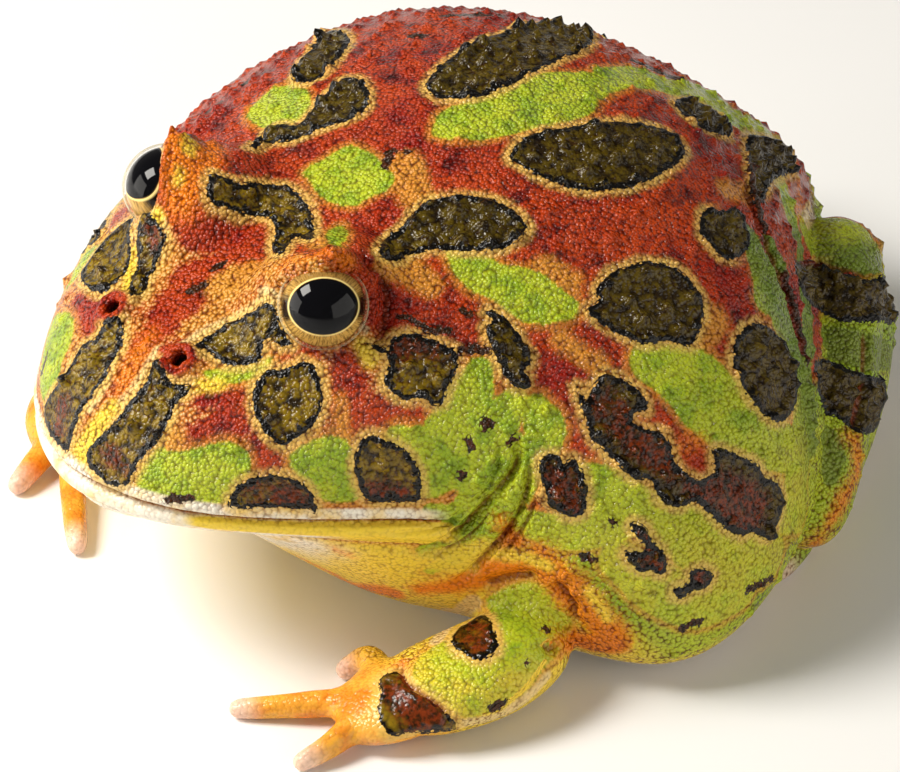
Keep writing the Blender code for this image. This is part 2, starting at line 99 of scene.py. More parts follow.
def to_mm(points):
    """Metres from the origin, as millimetres from the eye line."""
    return np.asarray(points, float) / MM + (0.0, EYES_TO_ORIGIN, 0.0)


camera_data = bpy.data.cameras.new("camera")
camera_data.lens, camera_data.sensor_width = LENS, SENSOR
camera_data.clip_start, camera_data.clip_end = 0.05, 10.0
camera = bpy.data.objects.new("camera", camera_data)
turn = np.eye(4)
turn[:3, 0], turn[:3, 1], turn[:3, 2] = VIEW_RIGHT, VIEW_UP, VIEW_BACK
turn[:3, 3] = to_metres(EYE_POINT)
camera.matrix_world = Matrix(turn.tolist())
bpy.context.scene.collection.objects.link(camera)
bpy.context.scene.camera = camera
print("camera at", [round(x, 3) for x in camera.location])

# %% [markdown]
# ## The body as a loft
# Head and trunk are one smooth form: cross sections from the snout to the
# rump, each of two half ovals that meet at the widest level. Only the left
# half is made; a Mirror modifier adds the other one, and a Subdivision Surface
# rounds the cage. It is the way in which the solids are made, only finer.

# %% Lay out the cross sections
SNOUT_TIP = (-26.4, 27.4)
RUMP_TIP = (96.0, 15.5)
BODY_SECTIONS = (  # y, half width, crown, belt, keel, power above, power below
    (-25.2, 6.5, 32.6, 27.6, 23.0, 2.0, 1.8),
    (-22.5, 12.8, 36.6, 27.4, 20.0, 2.1, 1.6),
    (-18.5, 18.0, 40.0, 27.2, 19.5, 2.3, 1.6),
    (-13.0, 22.8, 43.4, 26.8, 17.5, 2.5, 1.55),
    (-7.0, 27.3, 46.0, 26.4, 13.5, 2.6, 1.7),
    (-1.0, 31.0, 48.0, 26.0, 7.5, 2.7, 2.3),
    (5.0, 34.8, 50.0, 25.0, 2.8, 2.5, 3.1),
    (11.0, 39.0, 52.2, 22.0, 1.6, 2.2, 3.3),
    (17.5, 48.5, 54.6, 12.5, 0.2, 2.0, 3.2),
    (24.0, 55.2, 57.0, 8.5, -0.8, 1.93, 3.5),
    (31.0, 57.2, 58.8, 8.0, -1.8, 1.93, 3.5),
    (39.0, 56.6, 59.8, 9.0, -1.6, 1.95, 3.2),
    (47.0, 54.0, 60.0, 11.0, -1.5, 2.0, 2.8),
    (55.0, 49.8, 58.2, 13.0, -1.5, 2.0, 2.6),
    (63.0, 43.0, 54.4, 15.0, -1.0, 2.0, 2.5),
    (71.0, 34.0, 48.8, 16.0, -0.5, 2.0, 2.4),
    (78.0, 25.5, 42.4, 16.5, 0.5, 2.0, 2.2),
    (84.0, 18.8, 36.8, 16.5, 2.0, 2.1, 2.1),
    (89.0, 13.0, 32.0, 16.0, 4.2, 2.2, 2.0),
    (93.2, 8.0, 26.6, 15.5, 7.4, 2.2, 2.0),
)
UPPER_STEPS, LOWER_STEPS = 6, 5
print("sections", len(BODY_SECTIONS), "from", SNOUT_TIP, "to", RUMP_TIP)

# %% [markdown]
# ## Three small helpers
# Every piece of flesh goes the same way: a coarse cage of points becomes a
# mesh, a modifier rounds it, and the rounded shape is kept as the mesh.

# %% Make the mesh helpers
ROUNDING = 3

flesh = bpy.data.collections.new("flesh")
bpy.context.scene.collection.children.link(flesh)


def add_mesh(name, points, faces):
    """A mesh object from points in millimetres."""
    mesh = bpy.data.meshes.new(name)
    mesh.from_pydata(to_metres(points).tolist(), [], faces)
    obj = bpy.data.objects.new(name, mesh)
    flesh.objects.link(obj)
    return obj


def settle(obj):
    """Turn the object's modifiers into its mesh."""
    depsgraph = bpy.context.evaluated_depsgraph_get()
    mesh = bpy.data.meshes.new_from_object(obj.evaluated_get(depsgraph))
    obj.modifiers.clear()
    obj.data = mesh
    return obj


def rounded(obj, levels):
    modifier = obj.modifiers.new("round", "SUBSURF")
    modifier.levels = modifier.render_levels = levels
    return settle(obj)


def fullness(sides):
    """A cage ring is made a little wide, because rounding draws it in."""
    return 3.0 / (2.0 + math.cos(2.0 * math.pi / sides))


print("a cage of eight sides is made wider by", round(fullness(8), 3))

# %% [markdown]
# ## Lofting head and trunk
# Each half oval is a power curve. A power of 2 gives an ellipse, a lower one
# a sharper edge, and a higher one a flatter, boxier side, so one formula makes
# the flat snout, the deep jaw and the round flank.

# %% Loft the head and trunk


def half_section(y, half_width, crown, belt, keel, above, below):
    points = []
    for step in range(-UPPER_STEPS, LOWER_STEPS + 1):
        steps, power, end = ((UPPER_STEPS, 2.0 / above, crown) if step < 0
                             else (LOWER_STEPS, 2.0 / below, keel))
        angle = math.radians(90.0 * abs(step) / steps)
        wide = half_width * fullness(2 * (UPPER_STEPS + LOWER_STEPS))
        x = wide * max(math.cos(angle), 0.0) ** power if abs(step) < steps else 0.0
        points.append((x, y, belt + (end - belt) * math.sin(angle) ** power))
    return points


def body_loft():
    rings = [half_section(*section) for section in BODY_SECTIONS]
    count = len(rings[0])
    points = [point for ring in rings for point in ring]
    snout, rump = len(points), len(points) + 1
    points += [(0.0, *SNOUT_TIP), (0.0, *RUMP_TIP)]
    faces = [(i, i + 1, i + count + 1, i + count)
             for row in range(len(rings) - 1)
             for i in range(row * count, row * count + count - 1)]
    last = (len(rings) - 1) * count
    for column in range(count - 1):
        faces += [(snout, column + 1, column), (rump, last + column, last + column + 1)]
    body = add_mesh("body", points, faces)
    body.modifiers.new("mirror", "MIRROR").merge_threshold = 0.00001
    return rounded(settle(body), ROUNDING)


body = body_loft()
print("body points", len(body.data.vertices))

# %% [markdown]
# ## The limbs
# A limb is a row of ovals along a bent line. The frog sits with its elbows
# out, its hands turned forward and its hind legs folded beside the rump, so
# each limb is short and thick. The far hand lies under the jaw.

# %% Loft the limbs, hands and feet
LIMB_SIDES, DIGIT_SIDES = 6, 6
ARMS = (
    ((29.0, 20.0, 13.0, 7.0, 7.5), (36.5, 18.0, 10.0, 7.2, 7.2), (41.8, 14.8, 6.8, 5.9, 6.2)),
    ((43.2, 12.4, 6.6, 6.2, 6.2), (42.9, 6.5, 6.0, 7.4, 6.0), (41.1, 0.8, 5.0, 7.8, 4.8),
     (39.4, -3.0, 4.4, 7.0, 4.2)),
    ((39.0, -3.0, 4.2, 6.9, 4.0), (37.6, -7.0, 3.4, 6.9, 3.2), (36.8, -10.2, 2.6, 5.4, 2.4)),
    ((-29.0, 20.0, 13.0, 7.0, 7.5), (-36.5, 18.0, 10.0, 7.2, 7.2),
     (-41.8, 14.8, 6.8, 5.9, 6.2)),
    ((-44.0, 14.0, 6.6, 6.4, 6.4), (-42.6, 8.5, 6.4, 6.6, 6.2), (-39.6, 3.5, 5.6, 6.0, 5.2),
     (-37.5, 0.2, 4.8, 5.4, 4.4)),
    ((-37.0, -0.5, 4.4, 6.2, 4.0), (-34.5, -3.6, 3.4, 6.4, 3.2), (-32.4, -6.0, 2.7, 5.0, 2.4)),
)
FINGERS = (
    ((33.5, -3.5, 4.0, 2.4, 2.2), (29.4, -1.6, 4.1, 2.0, 2.0), (27.6, -4.2, 1.45, 1.5, 1.6)),
    ((34.0, -8.8, 2.8, 2.2, 2.2), (30.0, -14.0, 2.2, 1.5, 1.6), (25.2, -19.4, 1.35, 1.4, 1.5)),
    ((37.8, -10.5, 2.6, 2.2, 2.2), (38.9, -15.0, 2.1, 1.5, 1.6), (38.2, -19.2, 1.25, 1.4, 1.4)),
    ((42.0, -1.5, 2.8, 2.0, 2.2), (41.8, -5.6, 2.1, 1.6, 1.8), (40.2, -8.8, 1.35, 1.4, 1.5)),
    ((-31.5, -1.0, 3.4, 2.2, 2.2), (-27.5, -0.6, 2.7, 1.7, 1.8), (-23.6, -2.6, 1.35, 1.4, 1.5)),
    ((-30.5, -5.6, 2.8, 2.2, 2.2), (-22.2, -11.6, 2.5, 1.7, 1.8),
     (-14.6, -16.2, 1.45, 1.5, 1.6)),
    ((-33.4, -6.8, 2.8, 2.2, 2.2), (-31.6, -11.0, 2.3, 1.7, 1.8),
     (-30.1, -15.0, 1.45, 1.5, 1.6)),
    ((-37.5, -2.5, 2.8, 2.2, 2.2), (-41.0, -0.6, 2.1, 1.7, 1.8), (-43.4, 2.6, 1.35, 1.4, 1.5)),
)
LEGS = (
    ((18.0, 75.0, 13.0, 9.5, 11.0), (31.5, 65.5, 12.0, 9.5, 10.0), (42.5, 56.0, 9.5, 7.0, 8.0)),
    ((45.0, 58.0, 8.5, 6.2, 6.4), (39.0, 64.5, 12.8, 7.4, 7.6), (29.5, 74.5, 18.5, 7.8, 8.2),
     (22.0, 83.0, 23.0, 7.0, 7.2)),
    ((20.5, 88.0, 12.0, 6.2, 6.0), (29.5, 78.5, 7.6, 6.2, 5.6), (36.8, 68.0, 4.6, 5.6, 4.4),
     (40.8, 60.5, 3.2, 5.0, 3.2), (42.0, 54.5, 2.4, 4.2, 2.4)),
)
TOES = (
    ((38.6, 57.0, 2.4, 1.9, 1.9), (37.0, 51.0, 1.8, 1.5, 1.6), (36.8, 46.0, 1.25, 1.3, 1.4)),
    ((40.2, 54.5, 2.4, 1.9, 1.9), (39.4, 48.0, 1.8, 1.5, 1.6), (39.8, 42.5, 1.25, 1.3, 1.4)),
    ((42.2, 54.5, 2.4, 1.9, 1.9), (42.4, 47.5, 1.8, 1.5, 1.6), (42.8, 41.5, 1.25, 1.3, 1.4)),
    ((44.0, 55.5, 2.4, 1.9, 1.9), (44.8, 51.0, 1.8, 1.5, 1.6), (45.2, 46.0, 1.25, 1.3, 1.4)),
    ((44.4, 58.5, 2.4, 1.9, 1.9), (46.0, 55.4, 1.8, 1.5, 1.6), (46.8, 52.4, 1.25, 1.3, 1.4)),
)


def mirrored(sections):
    return tuple((-section[0], *section[1:]) for section in sections)


def oval_loft(name, sections, sides):
    """Ovals along a bent line, rounded at both ends."""
    middles = np.array([section[:3] for section in sections], float)
    wider = fullness(sides)
    rings, poles = [], []
    for index, (*_, wide, high) in enumerate(sections):
        along = middles[min(index + 1, len(middles) - 1)] - middles[max(index - 1, 0)]
        along /= np.linalg.norm(along)
        side = np.cross(along, (0.0, 0.0, 1.0))
        side /= np.linalg.norm(side)
        top = np.cross(side, along)
        depth = min(wide, high)
        rows = [(0.0, 1.0)]
        if index == 0:
            rows = [(-0.7 * depth, 0.72)] + rows
            poles.append(middles[0] - along * depth * 1.05)
        if index == len(sections) - 1:
            rows = rows + [(0.7 * depth, 0.72)]
            poles.append(middles[-1] + along * depth * 1.05)
        for shift, scale in rows:
            rings.append([middles[index] + along * shift + scale * wider
                          * (side * wide * math.cos(angle) + top * high * math.sin(angle))
                          for angle in np.linspace(0.0, 2.0 * math.pi, sides, endpoint=False)])
    points = [point for ring in rings for point in ring] + poles
    faces = []
    for row in range(len(rings) - 1):
        for corner in range(sides):
            here, beside = row * sides + corner, row * sides + (corner + 1) % sides
            faces.append((here, here + sides, beside + sides, beside))
    last = (len(rings) - 1) * sides
    for corner in range(sides):
        beside = (corner + 1) % sides
        faces += [(len(points) - 2, corner, beside), (len(points) - 1, last + beside, last + corner)]
    return rounded(add_mesh(name, points, faces), ROUNDING)


for sections in ARMS + LEGS + tuple(mirrored(leg) for leg in LEGS):
    oval_loft("limb", sections, LIMB_SIDES)
for sections in FINGERS + TOES + tuple(mirrored(toe) for toe in TOES):
    oval_loft("digit", sections, DIGIT_SIDES)

# %% [markdown]
# ## Brows, eyelids and horns
# The eyes stand up on low mounds, each lid wraps the ball of the eye closely,
# and a fleshy horn rises from the upper lid. Egg shapes and a cone are enough
# here: the next step melts everything into one surface.

# %% Add the brows, lids and horns
EYE_CENTRE = np.array((16.4, 1.6, 49.5))
EYE_RADIUS = 5.8
EYE_AXIS = np.array((0.690, -0.491, 0.539)) / np.linalg.norm((0.690, -0.491, 0.539))
LID_CENTRE, LID_RADIUS = (16.1, 2.2, 49.5), 6.9
BROW_CENTRE, BROW_RADII = (12.6, 5.5, 44.0), (10.5, 13.0, 10.6)
HORN_FOOT, HORN_TIP = np.array((15.6, 3.6, 52.0)), np.array((17.2, 3.0, 59.0))
HORN_RADIUS, HORN_CUT_Z = 4.4, 56.3
SIDE_NAMES, SIDES = ("left", "right"), (np.ones(3), np.array((-1.0, 1.0, 1.0)))


def egg(name, middle, radii):
    bpy.ops.mesh.primitive_uv_sphere_add(segments=48, ring_count=32, radius=1.0)
    obj = bpy.context.object
    obj.name = name
    obj.data.transform(Matrix.Diagonal((*[radius * MM for radius in radii], 1.0)))
    obj.data.transform(Matrix.Translation(Vector(to_metres(middle))))
    for collection in list(obj.users_collection):
        collection.objects.unlink(obj)
    flesh.objects.link(obj)
    return obj


for flip in SIDES:
    egg("lid", flip * LID_CENTRE, (LID_RADIUS,) * 3)
    egg("brow", flip * BROW_CENTRE, BROW_RADII)
    foot, tip = flip * HORN_FOOT, flip * HORN_TIP
    oval_loft("horn", [(*(foot + (tip - foot) * share), HORN_RADIUS * (1.0 - share) + 0.5,
                        HORN_RADIUS * (1.0 - share) + 0.5) for share in (0.0, 0.45, 0.85)], 8)

# %% [markdown]
# ## One skin
# A voxel remesh swallows all the overlapping forms and returns their common
# outside as one even net of small squares. Even squares matter: everything
# that follows moves or measures single points of this net.

# %% Melt the pieces into one skin
VOXEL = 0.00042

pieces = list(flesh.objects)
skin = pieces[0]
with bpy.context.temp_override(active_object=skin, selected_objects=pieces,
                               selected_editable_objects=pieces):
    bpy.ops.object.join()
skin.name = "skin"
remesh = skin.modifiers.new("melt", "REMESH")
remesh.mode, remesh.voxel_size = "VOXEL", VOXEL
settle(skin)
print("skin points", len(skin.data.vertices))

# %% [markdown]
# ## Tools for sculpting in code
# Two moves do all the sculpting. Pushing moves points along their normals, as
# a clay tool presses or raises. Relaxing moves points to the middle of their
# neighbours, as a wet thumb does. Each takes one number a point, so any shape
# that can be measured on the skin can be pressed into it.

# %% Make the sculpting tools


class Clay:
    """The points of a mesh in millimetres, and the moves that shape them."""

    def __init__(self, obj):
        self.obj = obj
        count = len(obj.data.vertices)
        flat = np.empty(count * 3, np.float32)
        obj.data.vertices.foreach_get("co", flat)
        self.points = to_mm(flat.reshape(-1, 3))
        ends = np.empty(len(obj.data.edges) * 2, np.int32)
        obj.data.edges.foreach_get("vertices", ends)
        self.ends = ends.reshape(-1, 2).T
        self.degree = np.bincount(ends, minlength=count)
        self.refresh()

    def refresh(self):
        """Write the points back and read the normals again."""
        self.obj.data.vertices.foreach_set(
            "co", to_metres(self.points).astype(np.float32).ravel())
        self.obj.data.update()
        flat = np.empty(len(self.points) * 3, np.float32)
        self.obj.data.vertex_normals.foreach_get("vector", flat)
        self.normals = flat.reshape(-1, 3).astype(float)

    def push(self, amount):
        self.points += self.normals * amount[:, None]
        self.refresh()

    def relax(self, weight, rounds):
        first, second = self.ends
        for _ in range(rounds):
            middle = np.stack([
                np.bincount(first, self.points[second, axis], len(self.points))
                + np.bincount(second, self.points[first, axis], len(self.points))
                for axis in range(3)], axis=1) / self.degree[:, None]
            self.points += (middle - self.points) * weight[:, None]
        self.refresh()


def bump_of(distance, radius):
    """1 in the middle, falling softly to 0 at the radius."""
    share = np.clip(1.0 - distance / radius, 0.0, 1.0)
    return share * share * (3.0 - 2.0 * share)


def step_of(value, low, high):
    share = np.clip((value - low) / (high - low), 0.0, 1.0)
    return share * share * (3.0 - 2.0 * share)


def near(points, middle, radius):
    return bump_of(np.linalg.norm(points - middle, axis=1), radius)


def refine(chosen):
    """Halve the squares of the net where points are chosen."""
    ends = np.empty(len(skin.data.edges) * 2, np.int32)
    skin.data.edges.foreach_get("vertices", ends)
    picked = np.flatnonzero(chosen[ends.reshape(-1, 2)].all(axis=1))
    shape = bmesh.new()
    shape.from_mesh(skin.data)
    shape.edges.ensure_lookup_table()
    bmesh.ops.subdivide_edges(shape, edges=[shape.edges[index] for index in picked],
                              cuts=1, use_grid_fill=True)
    shape.to_mesh(skin.data)
    shape.free()


print("tools ready for", len(skin.data.vertices), "points")

# %% [markdown]
# ## Soft joins
# Where two forms met, the melted skin has a sharp valley. On the animal the
# skin bridges it: from brow to crown, from flank to arm, from wrist to hand.
# A few balls say where, and the points inside them are relaxed many times.

# %% Soften the joins
JOINS = (  # middle and radius: brows, shoulders, then each hand and elbow
    ((15.0, 5.0, 46.0), 17.0), ((-15.0, 5.0, 46.0), 17.0),
    ((36.0, 16.0, 12.0), 12.0), ((-36.0, 16.0, 12.0), 12.0),
    ((36.0, -7.0, 3.0), 8.0), ((-33.0, -4.0, 3.0), 8.0),
    ((42.0, 12.0, 6.0), 7.0), ((-43.0, 12.0, 6.0), 7.0),
)
clay = Clay(skin)
joins = np.zeros(len(clay.points))
for middle, radius in JOINS:
    joins = np.maximum(joins, near(clay.points, middle, radius))
for flip in SIDES:
    joins *= step_of(np.linalg.norm(clay.points - flip * HORN_TIP, axis=1), 3.0, 7.0)
clay.relax(np.full(len(clay.points), 0.5), 4)
clay.relax(0.6 * joins, 70)
print("smoothed joins over", round(float((joins > 0.1).mean()), 3), "of the skin")

# %% [markdown]
# ## The lids
# A lid hugs the ball of the eye. Two numbers describe every point near an
# eye: how far it is from the centre, and how far it is turned away from the
# direction of the gaze. Points inside the opening are drawn back into the
# ball, so that the ball comes through the skin. Points outside may stand no
# higher than a gentle slope that starts at the rim. The upper lid reaches
# further over the ball than the lower one.

# %% Open the lids
RIM_ACROSS, RIM_TOP, RIM_BOTTOM = 0.2, 3.6, 1.0
LID_THICKNESS, LID_SLOPE, LID_REACH = 0.45, 0.75, 12.0
RIM_ROLL, RIM_WIDTH = 0.22, 0.16
FINE_REACH, FIRM_REACH = 9.5, 8.0


def eye_frame(flip):
    """Axes of one eye: forward, to the side, and up over the ball."""
    forward = flip * EYE_AXIS
    side = np.cross((0.0, 0.0, 1.0), forward)
    side /= np.linalg.norm(side)
    return forward, side, np.cross(forward, side)


def lid_measure(points, flip):
    """Distance from the eye's centre, turn past the rim, and place round the rim."""
    forward, side, up = eye_frame(flip)
    offset = points - flip * EYE_CENTRE
    reach = np.linalg.norm(offset, axis=1)
    around = np.arctan2(offset @ up, offset @ side)
    high = np.sin(around)
    rim = RIM_ACROSS + np.where(high > 0.0, RIM_TOP - RIM_ACROSS,
                                RIM_BOTTOM - RIM_ACROSS) * high * high
    turned = np.arccos(np.clip(offset @ forward / np.maximum(reach, 1e-6), -1.0, 1.0))
    return reach, turned - np.arccos(rim / EYE_RADIUS), high


close = np.zeros(len(clay.points), bool)
for flip in SIDES:
    close |= np.linalg.norm(clay.points - flip * EYE_CENTRE, axis=1) < FINE_REACH
refine(close)
clay = Clay(skin)
for flip in SIDES:
    reach, past, high = lid_measure(clay.points, flip)
    slope = EYE_RADIUS + LID_THICKNESS + LID_SLOPE * EYE_RADIUS * np.maximum(past, 0.0)
    hole = (past < 0.0) & (reach < LID_REACH)
    wanted = np.where(hole, EYE_RADIUS - 1.0, np.minimum(reach, slope))
    wanted = np.where(~hole & (past < 0.5) & (reach > EYE_RADIUS - 1.5),
                      np.maximum(wanted, EYE_RADIUS + 0.6 * LID_THICKNESS), wanted)
    wanted += RIM_ROLL * bump_of(np.abs(past - 0.07), RIM_WIDTH) * ~hole
    blend = np.where(hole & (reach < FIRM_REACH), 1.0,
                     1.0 - step_of(reach, FIRM_REACH, LID_REACH))
    wanted = reach + (wanted - reach) * blend
    moved = reach < LID_REACH
    middle = flip * EYE_CENTRE
    offset = clay.points[moved] - middle
    clay.points[moved] = middle + offset * (wanted / reach)[moved, None]
clay.refresh()


def eye_masks(points):
    """Points inside the eye holes, and the glassy ring of the lower lids."""
    inside, ring = np.zeros(len(points), bool), np.zeros(len(points))
    for flip in SIDES:
        reach, past, high = lid_measure(points, flip)
        inside |= (past < 0.02) & (reach < LID_REACH)
        ring = np.maximum(ring, bump_of(np.abs(past - 0.03), 0.12)
                          * (1.0 - step_of(reach, 6.4, 6.8)) * (1.0 - step_of(high, -0.6, -0.2)))
    return inside, ring


print("points in the eye holes", int(eye_masks(clay.points)[0].sum()))

# %% [markdown]
# ## The mouth
# The mouth is shut in a long line that almost cuts the head in two. It is a
# narrow groove, with the firm edge of the upper lip above it and a soft roll
# of the lower lip below. The height above the line says which part of this
# profile a point gets.

# %% Press in the mouth
MOUTH_LINE = ((0.0, -26.2, 27.6), (7.6, -24.6, 27.6), (14.8, -20.6, 27.3), (21.6, -13.8, 26.8),
              (27.4, -6.0, 26.3), (32.2, 2.0, 25.7), (36.2, 9.6, 24.6))
MOUTH_PIVOT_Y = 15.0
GROOVE_DEPTH, GROOVE_WIDTH = 1.0, 0.7
UPPER_LIP, LOWER_LIP, UNDER_LIP = 0.45, 0.8, 0.5
MOUTH_INSIDE, CORNER_FADE = 18.0, 10.0

mouth = np.array(MOUTH_LINE)
mouth_turn = np.degrees(np.arctan2(mouth[:, 0], MOUTH_PIVOT_Y - mouth[:, 1]))


def above_mouth(points):
    """Height over the mouth line, and 1 along the mouth, 0 past its corners."""
    angle = np.degrees(np.arctan2(np.abs(points[:, 0]), MOUTH_PIVOT_Y - points[:, 1]))
    height = points[:, 2] - np.interp(angle, mouth_turn, mouth[:, 2])
    outer = np.hypot(points[:, 0], points[:, 1] - MOUTH_PIVOT_Y) > MOUTH_INSIDE
    return height, outer * (1.0 - step_of(angle, mouth_turn[-1] - CORNER_FADE, mouth_turn[-1]))


height, along_mouth = above_mouth(clay.points)
refine((along_mouth > 0.0) & (np.abs(height) < 3.0))
clay = Clay(skin)
height, along_mouth = above_mouth(clay.points)
clay.push(along_mouth * (UPPER_LIP * bump_of(np.abs(height - 1.1), 1.5)
                         + LOWER_LIP * along_mouth ** 3 * bump_of(np.abs(height + 1.7), 2.0)
                         - UNDER_LIP * bump_of(np.abs(height + 4.6), 1.6)))
height, along_mouth = above_mouth(clay.points)
clay.push(-GROOVE_DEPTH * along_mouth * bump_of(np.abs(height), GROOVE_WIDTH))
print("mouth points", int((along_mouth * (np.abs(height) < GROOVE_WIDTH) > 0).sum()))

# %% [markdown]
# ## Finding places on the skin
# A ray goes from the camera through a place in the picture to the skin behind
# it. Where it passes just beside the body, it steps towards the middle until
# it meets the skin. Lines and outlines are rounded before they are cast, so a
# few corners give a soft curve.

# %% Cast places in the picture onto the skin
PICTURE_MIDDLE = np.array((450.0, 380.0))
EDGE_STEP, EDGE_TRIES = 2.0, 30
LINE_REACH = 12.0


def skin_tree():
    return BVHTree.FromObject(skin, bpy.context.evaluated_depsgraph_get())


tree = skin_tree()


def on_skin(place):
    """The point of the skin behind a place in the picture, in millimetres."""
    place = np.array(place, float)
    inward = PICTURE_MIDDLE - place
    inward *= EDGE_STEP / max(np.linalg.norm(inward), EDGE_STEP)
    start = Vector(to_metres(EYE_POINT))
    for _ in range(EDGE_TRIES):
        across, down = (place - (PICTURE_WIDTH / 2, PICTURE_HEIGHT / 2)) / PIXELS_PER_SLOPE
        direction = Vector(VIEW_RIGHT * across - VIEW_UP * down - VIEW_BACK)
        spot, *_ = tree.ray_cast(start, direction)
        if spot is not None:
            return to_mm(spot)
        place = place + inward
    raise ValueError(f"no skin behind {place}")


def curve(corners, closed=False, parts=4):
    """A soft curve through a few corners."""
    corners = np.array(corners, float)
    count = len(corners)
    made = []
    for index in range(count if closed else count - 1):
        if closed:
            a, b, c, d = (corners[(index + k) % count] for k in (-1, 0, 1, 2))
        else:
            a, b, c, d = (corners[min(max(index + k, 0), count - 1)] for k in (-1, 0, 1, 2))
        for t in np.arange(parts) / parts:
            made.append(0.5 * (2 * b + (c - a) * t + (2 * a - 5 * b + 4 * c - d) * t ** 2
                               + (3 * b - a - 3 * c + d) * t ** 3))
    if not closed:
        made.append(corners[-1])
    return np.array(made)


def line_distance(points, line):
    """Distance from a bent line, and the share of the line passed."""
    all_best, all_share = np.full(len(points), LINE_REACH), np.zeros(len(points))
    low, high = line.min(axis=0) - LINE_REACH, line.max(axis=0) + LINE_REACH
    chosen = np.flatnonzero(((points > low) & (points < high)).all(axis=1))
    points = points[chosen]
    best, share = all_best[chosen], all_share[chosen]
    for index in range(len(line) - 1):
        span = line[index + 1] - line[index]
        t = np.clip((points - line[index]) @ span / max(span @ span, 1e-12), 0.0, 1.0)
        distance = np.linalg.norm(points - line[index] - t[:, None] * span, axis=1)
        closer = distance < best
        best[closer] = distance[closer]
        share[closer] = (index + t[closer]) / (len(line) - 1)
    all_best[chosen], all_share[chosen] = best, share
    return all_best, all_share


print("snout seen at", on_skin((120, 470)).round(1))

# %% [markdown]
# ## Folds and creases
# Behind the mouth the cheek folds into the neck, and skin bunches at the
# shoulder, the elbow and the wrist. Each fold is a short line on the skin:
# points near it are pressed in or raised, and the press fades at both ends.

# %% Press in the folds
FOLDS = (  # depth in mm (below 0 is a ridge), half width in mm, places in the picture
    (1.3, 0.55, ((512, 436), (518, 460), (506, 482), (490, 500), (472, 521), (448, 540), (412, 556))),
    (1.1, 0.5, ((524, 440), (529, 476), (522, 507), (507, 533), (490, 553), (470, 573), (448, 586))),
    (0.45, 0.45, ((470, 507), (450, 522), (428, 530), (404, 534), (380, 536))),
    (0.6, 0.4, ((494, 500), (478, 528), (458, 545), (430, 556))),
    (0.6, 0.4, ((540, 470), (533, 508), (515, 540), (495, 566))),
    (-0.9, 1.6, ((487, 329), (505, 352), (526, 387))),
    (0.5, 0.35, ((498, 440), (497, 466), (488, 488), (470, 506))),
    (0.9, 0.8, ((360, 258), (376, 268), (387, 285), (389, 306), (381, 330), (366, 350))),
    (0.9, 1.0, ((482, 588), (510, 580), (542, 577))),
    (1.0, 0.7, ((552, 582), (570, 602), (580, 632))),
    (0.8, 0.8, ((545, 640), (552, 650), (558, 640))),
    (0.6, 0.7, ((403, 660), (400, 672), (408, 684), (440, 706), (458, 728))),
    (0.5, 0.7, ((555, 655), (530, 690), (500, 715))),
    (0.9, 1.1, ((745, 160), (752, 200), (768, 240), (788, 290), (805, 350), (816, 400))),
    (0.6, 0.9, ((795, 262), (830, 265), (880, 280))),
    (0.8, 0.9, ((867, 320), (865, 385), (850, 440))),
)
FOLD_REACH, FINE_FOLDS_Y, SIDE_STRENGTHS = 2.5, 20.0, (1.0, 0.8)
SNOUT_PLACE, SNOUT_REACH = (5.8, 13.6, 41.9), 3.5
DEEP_FOLD = 0.55

fold_lines = [np.array([on_skin(place) for place in curve(places)]) for *_, places in FOLDS]
near_fold = np.zeros(len(clay.points), bool)
for line in fold_lines:
    for flip in SIDES:
        near_fold |= line_distance(clay.points, line * flip)[0] < FOLD_REACH
near_fold |= np.linalg.norm(np.abs(clay.points) - SNOUT_PLACE, axis=1) < SNOUT_REACH
refine(near_fold & (clay.points[:, 1] < FINE_FOLDS_Y))
clay = Clay(skin)
# The deep folds also keep a crease number, used later to paint shade into them.
crease = np.full(len(clay.points), -5.0)
for (depth, width, _), line in zip(FOLDS, fold_lines):
    for flip, strength in zip(SIDES, SIDE_STRENGTHS):
        distance, share = line_distance(clay.points, line * flip)
        fade = step_of(share, 0.0, 0.2) * (1.0 - step_of(share, 0.75, 1.0))
        clay.push(-depth * strength * fade * bump_of(distance, 2.0 * width))
        if depth > DEEP_FOLD:
            crease = np.maximum(crease, fade * (1.0 + 0.5 * width) - 1.0 - distance)
tree = skin_tree()
print("folds", len(FOLDS), "points", len(clay.points))

# %% [markdown]
# ## Nostrils
# Each nostril is a small pit that opens upward, in a low ring of flesh behind
# the snout.

# %% Open the nostrils
NOSTRIL = np.array((7.0, -13.2, 41.9))
RING_RISE, PIT_DEPTH = 1.1, 1.6
pit, nostril_ring = np.zeros(len(clay.points)), np.zeros(len(clay.points))
for flip in SIDES:
    spot, *_ = tree.find_nearest(Vector(to_metres(flip * NOSTRIL)))
    distance = np.linalg.norm(clay.points - to_mm(spot), axis=1)
    clay.push(RING_RISE * bump_of(np.abs(distance - 1.7), 2.0) * (distance < 4.0))
    clay.push(-PIT_DEPTH * bump_of(distance, 1.05))
    # The pit number is kept to paint shade into the nostril.
    pit = np.maximum(pit, bump_of(distance, 1.1))
    nostril_ring = np.maximum(nostril_ring, bump_of(distance, 3.6))
tree = skin_tree()
print("nostril near", spot)

# %% [markdown]
# ## Measuring the markings
# A blotch is an outline on the skin. For each point near it the signed
# distance to that outline is kept: above 0 inside, below 0 outside. One such
# number gives the blotch, its black rim and its pale halo at once, all of
# them sharp at any size, because the shader does the cutting.

# %% Make the marking tools
FAR = -20.0
BLOTCH_CURVES, BLOTCH_REACH, HIDDEN_FADE = 5.0, 4.0, 8.0
fields = {name: np.full(len(clay.points), FAR)
          for name in ("dark", "green", "red", "ochre", "yellow", "orange", "brown", "cream", "dots")}


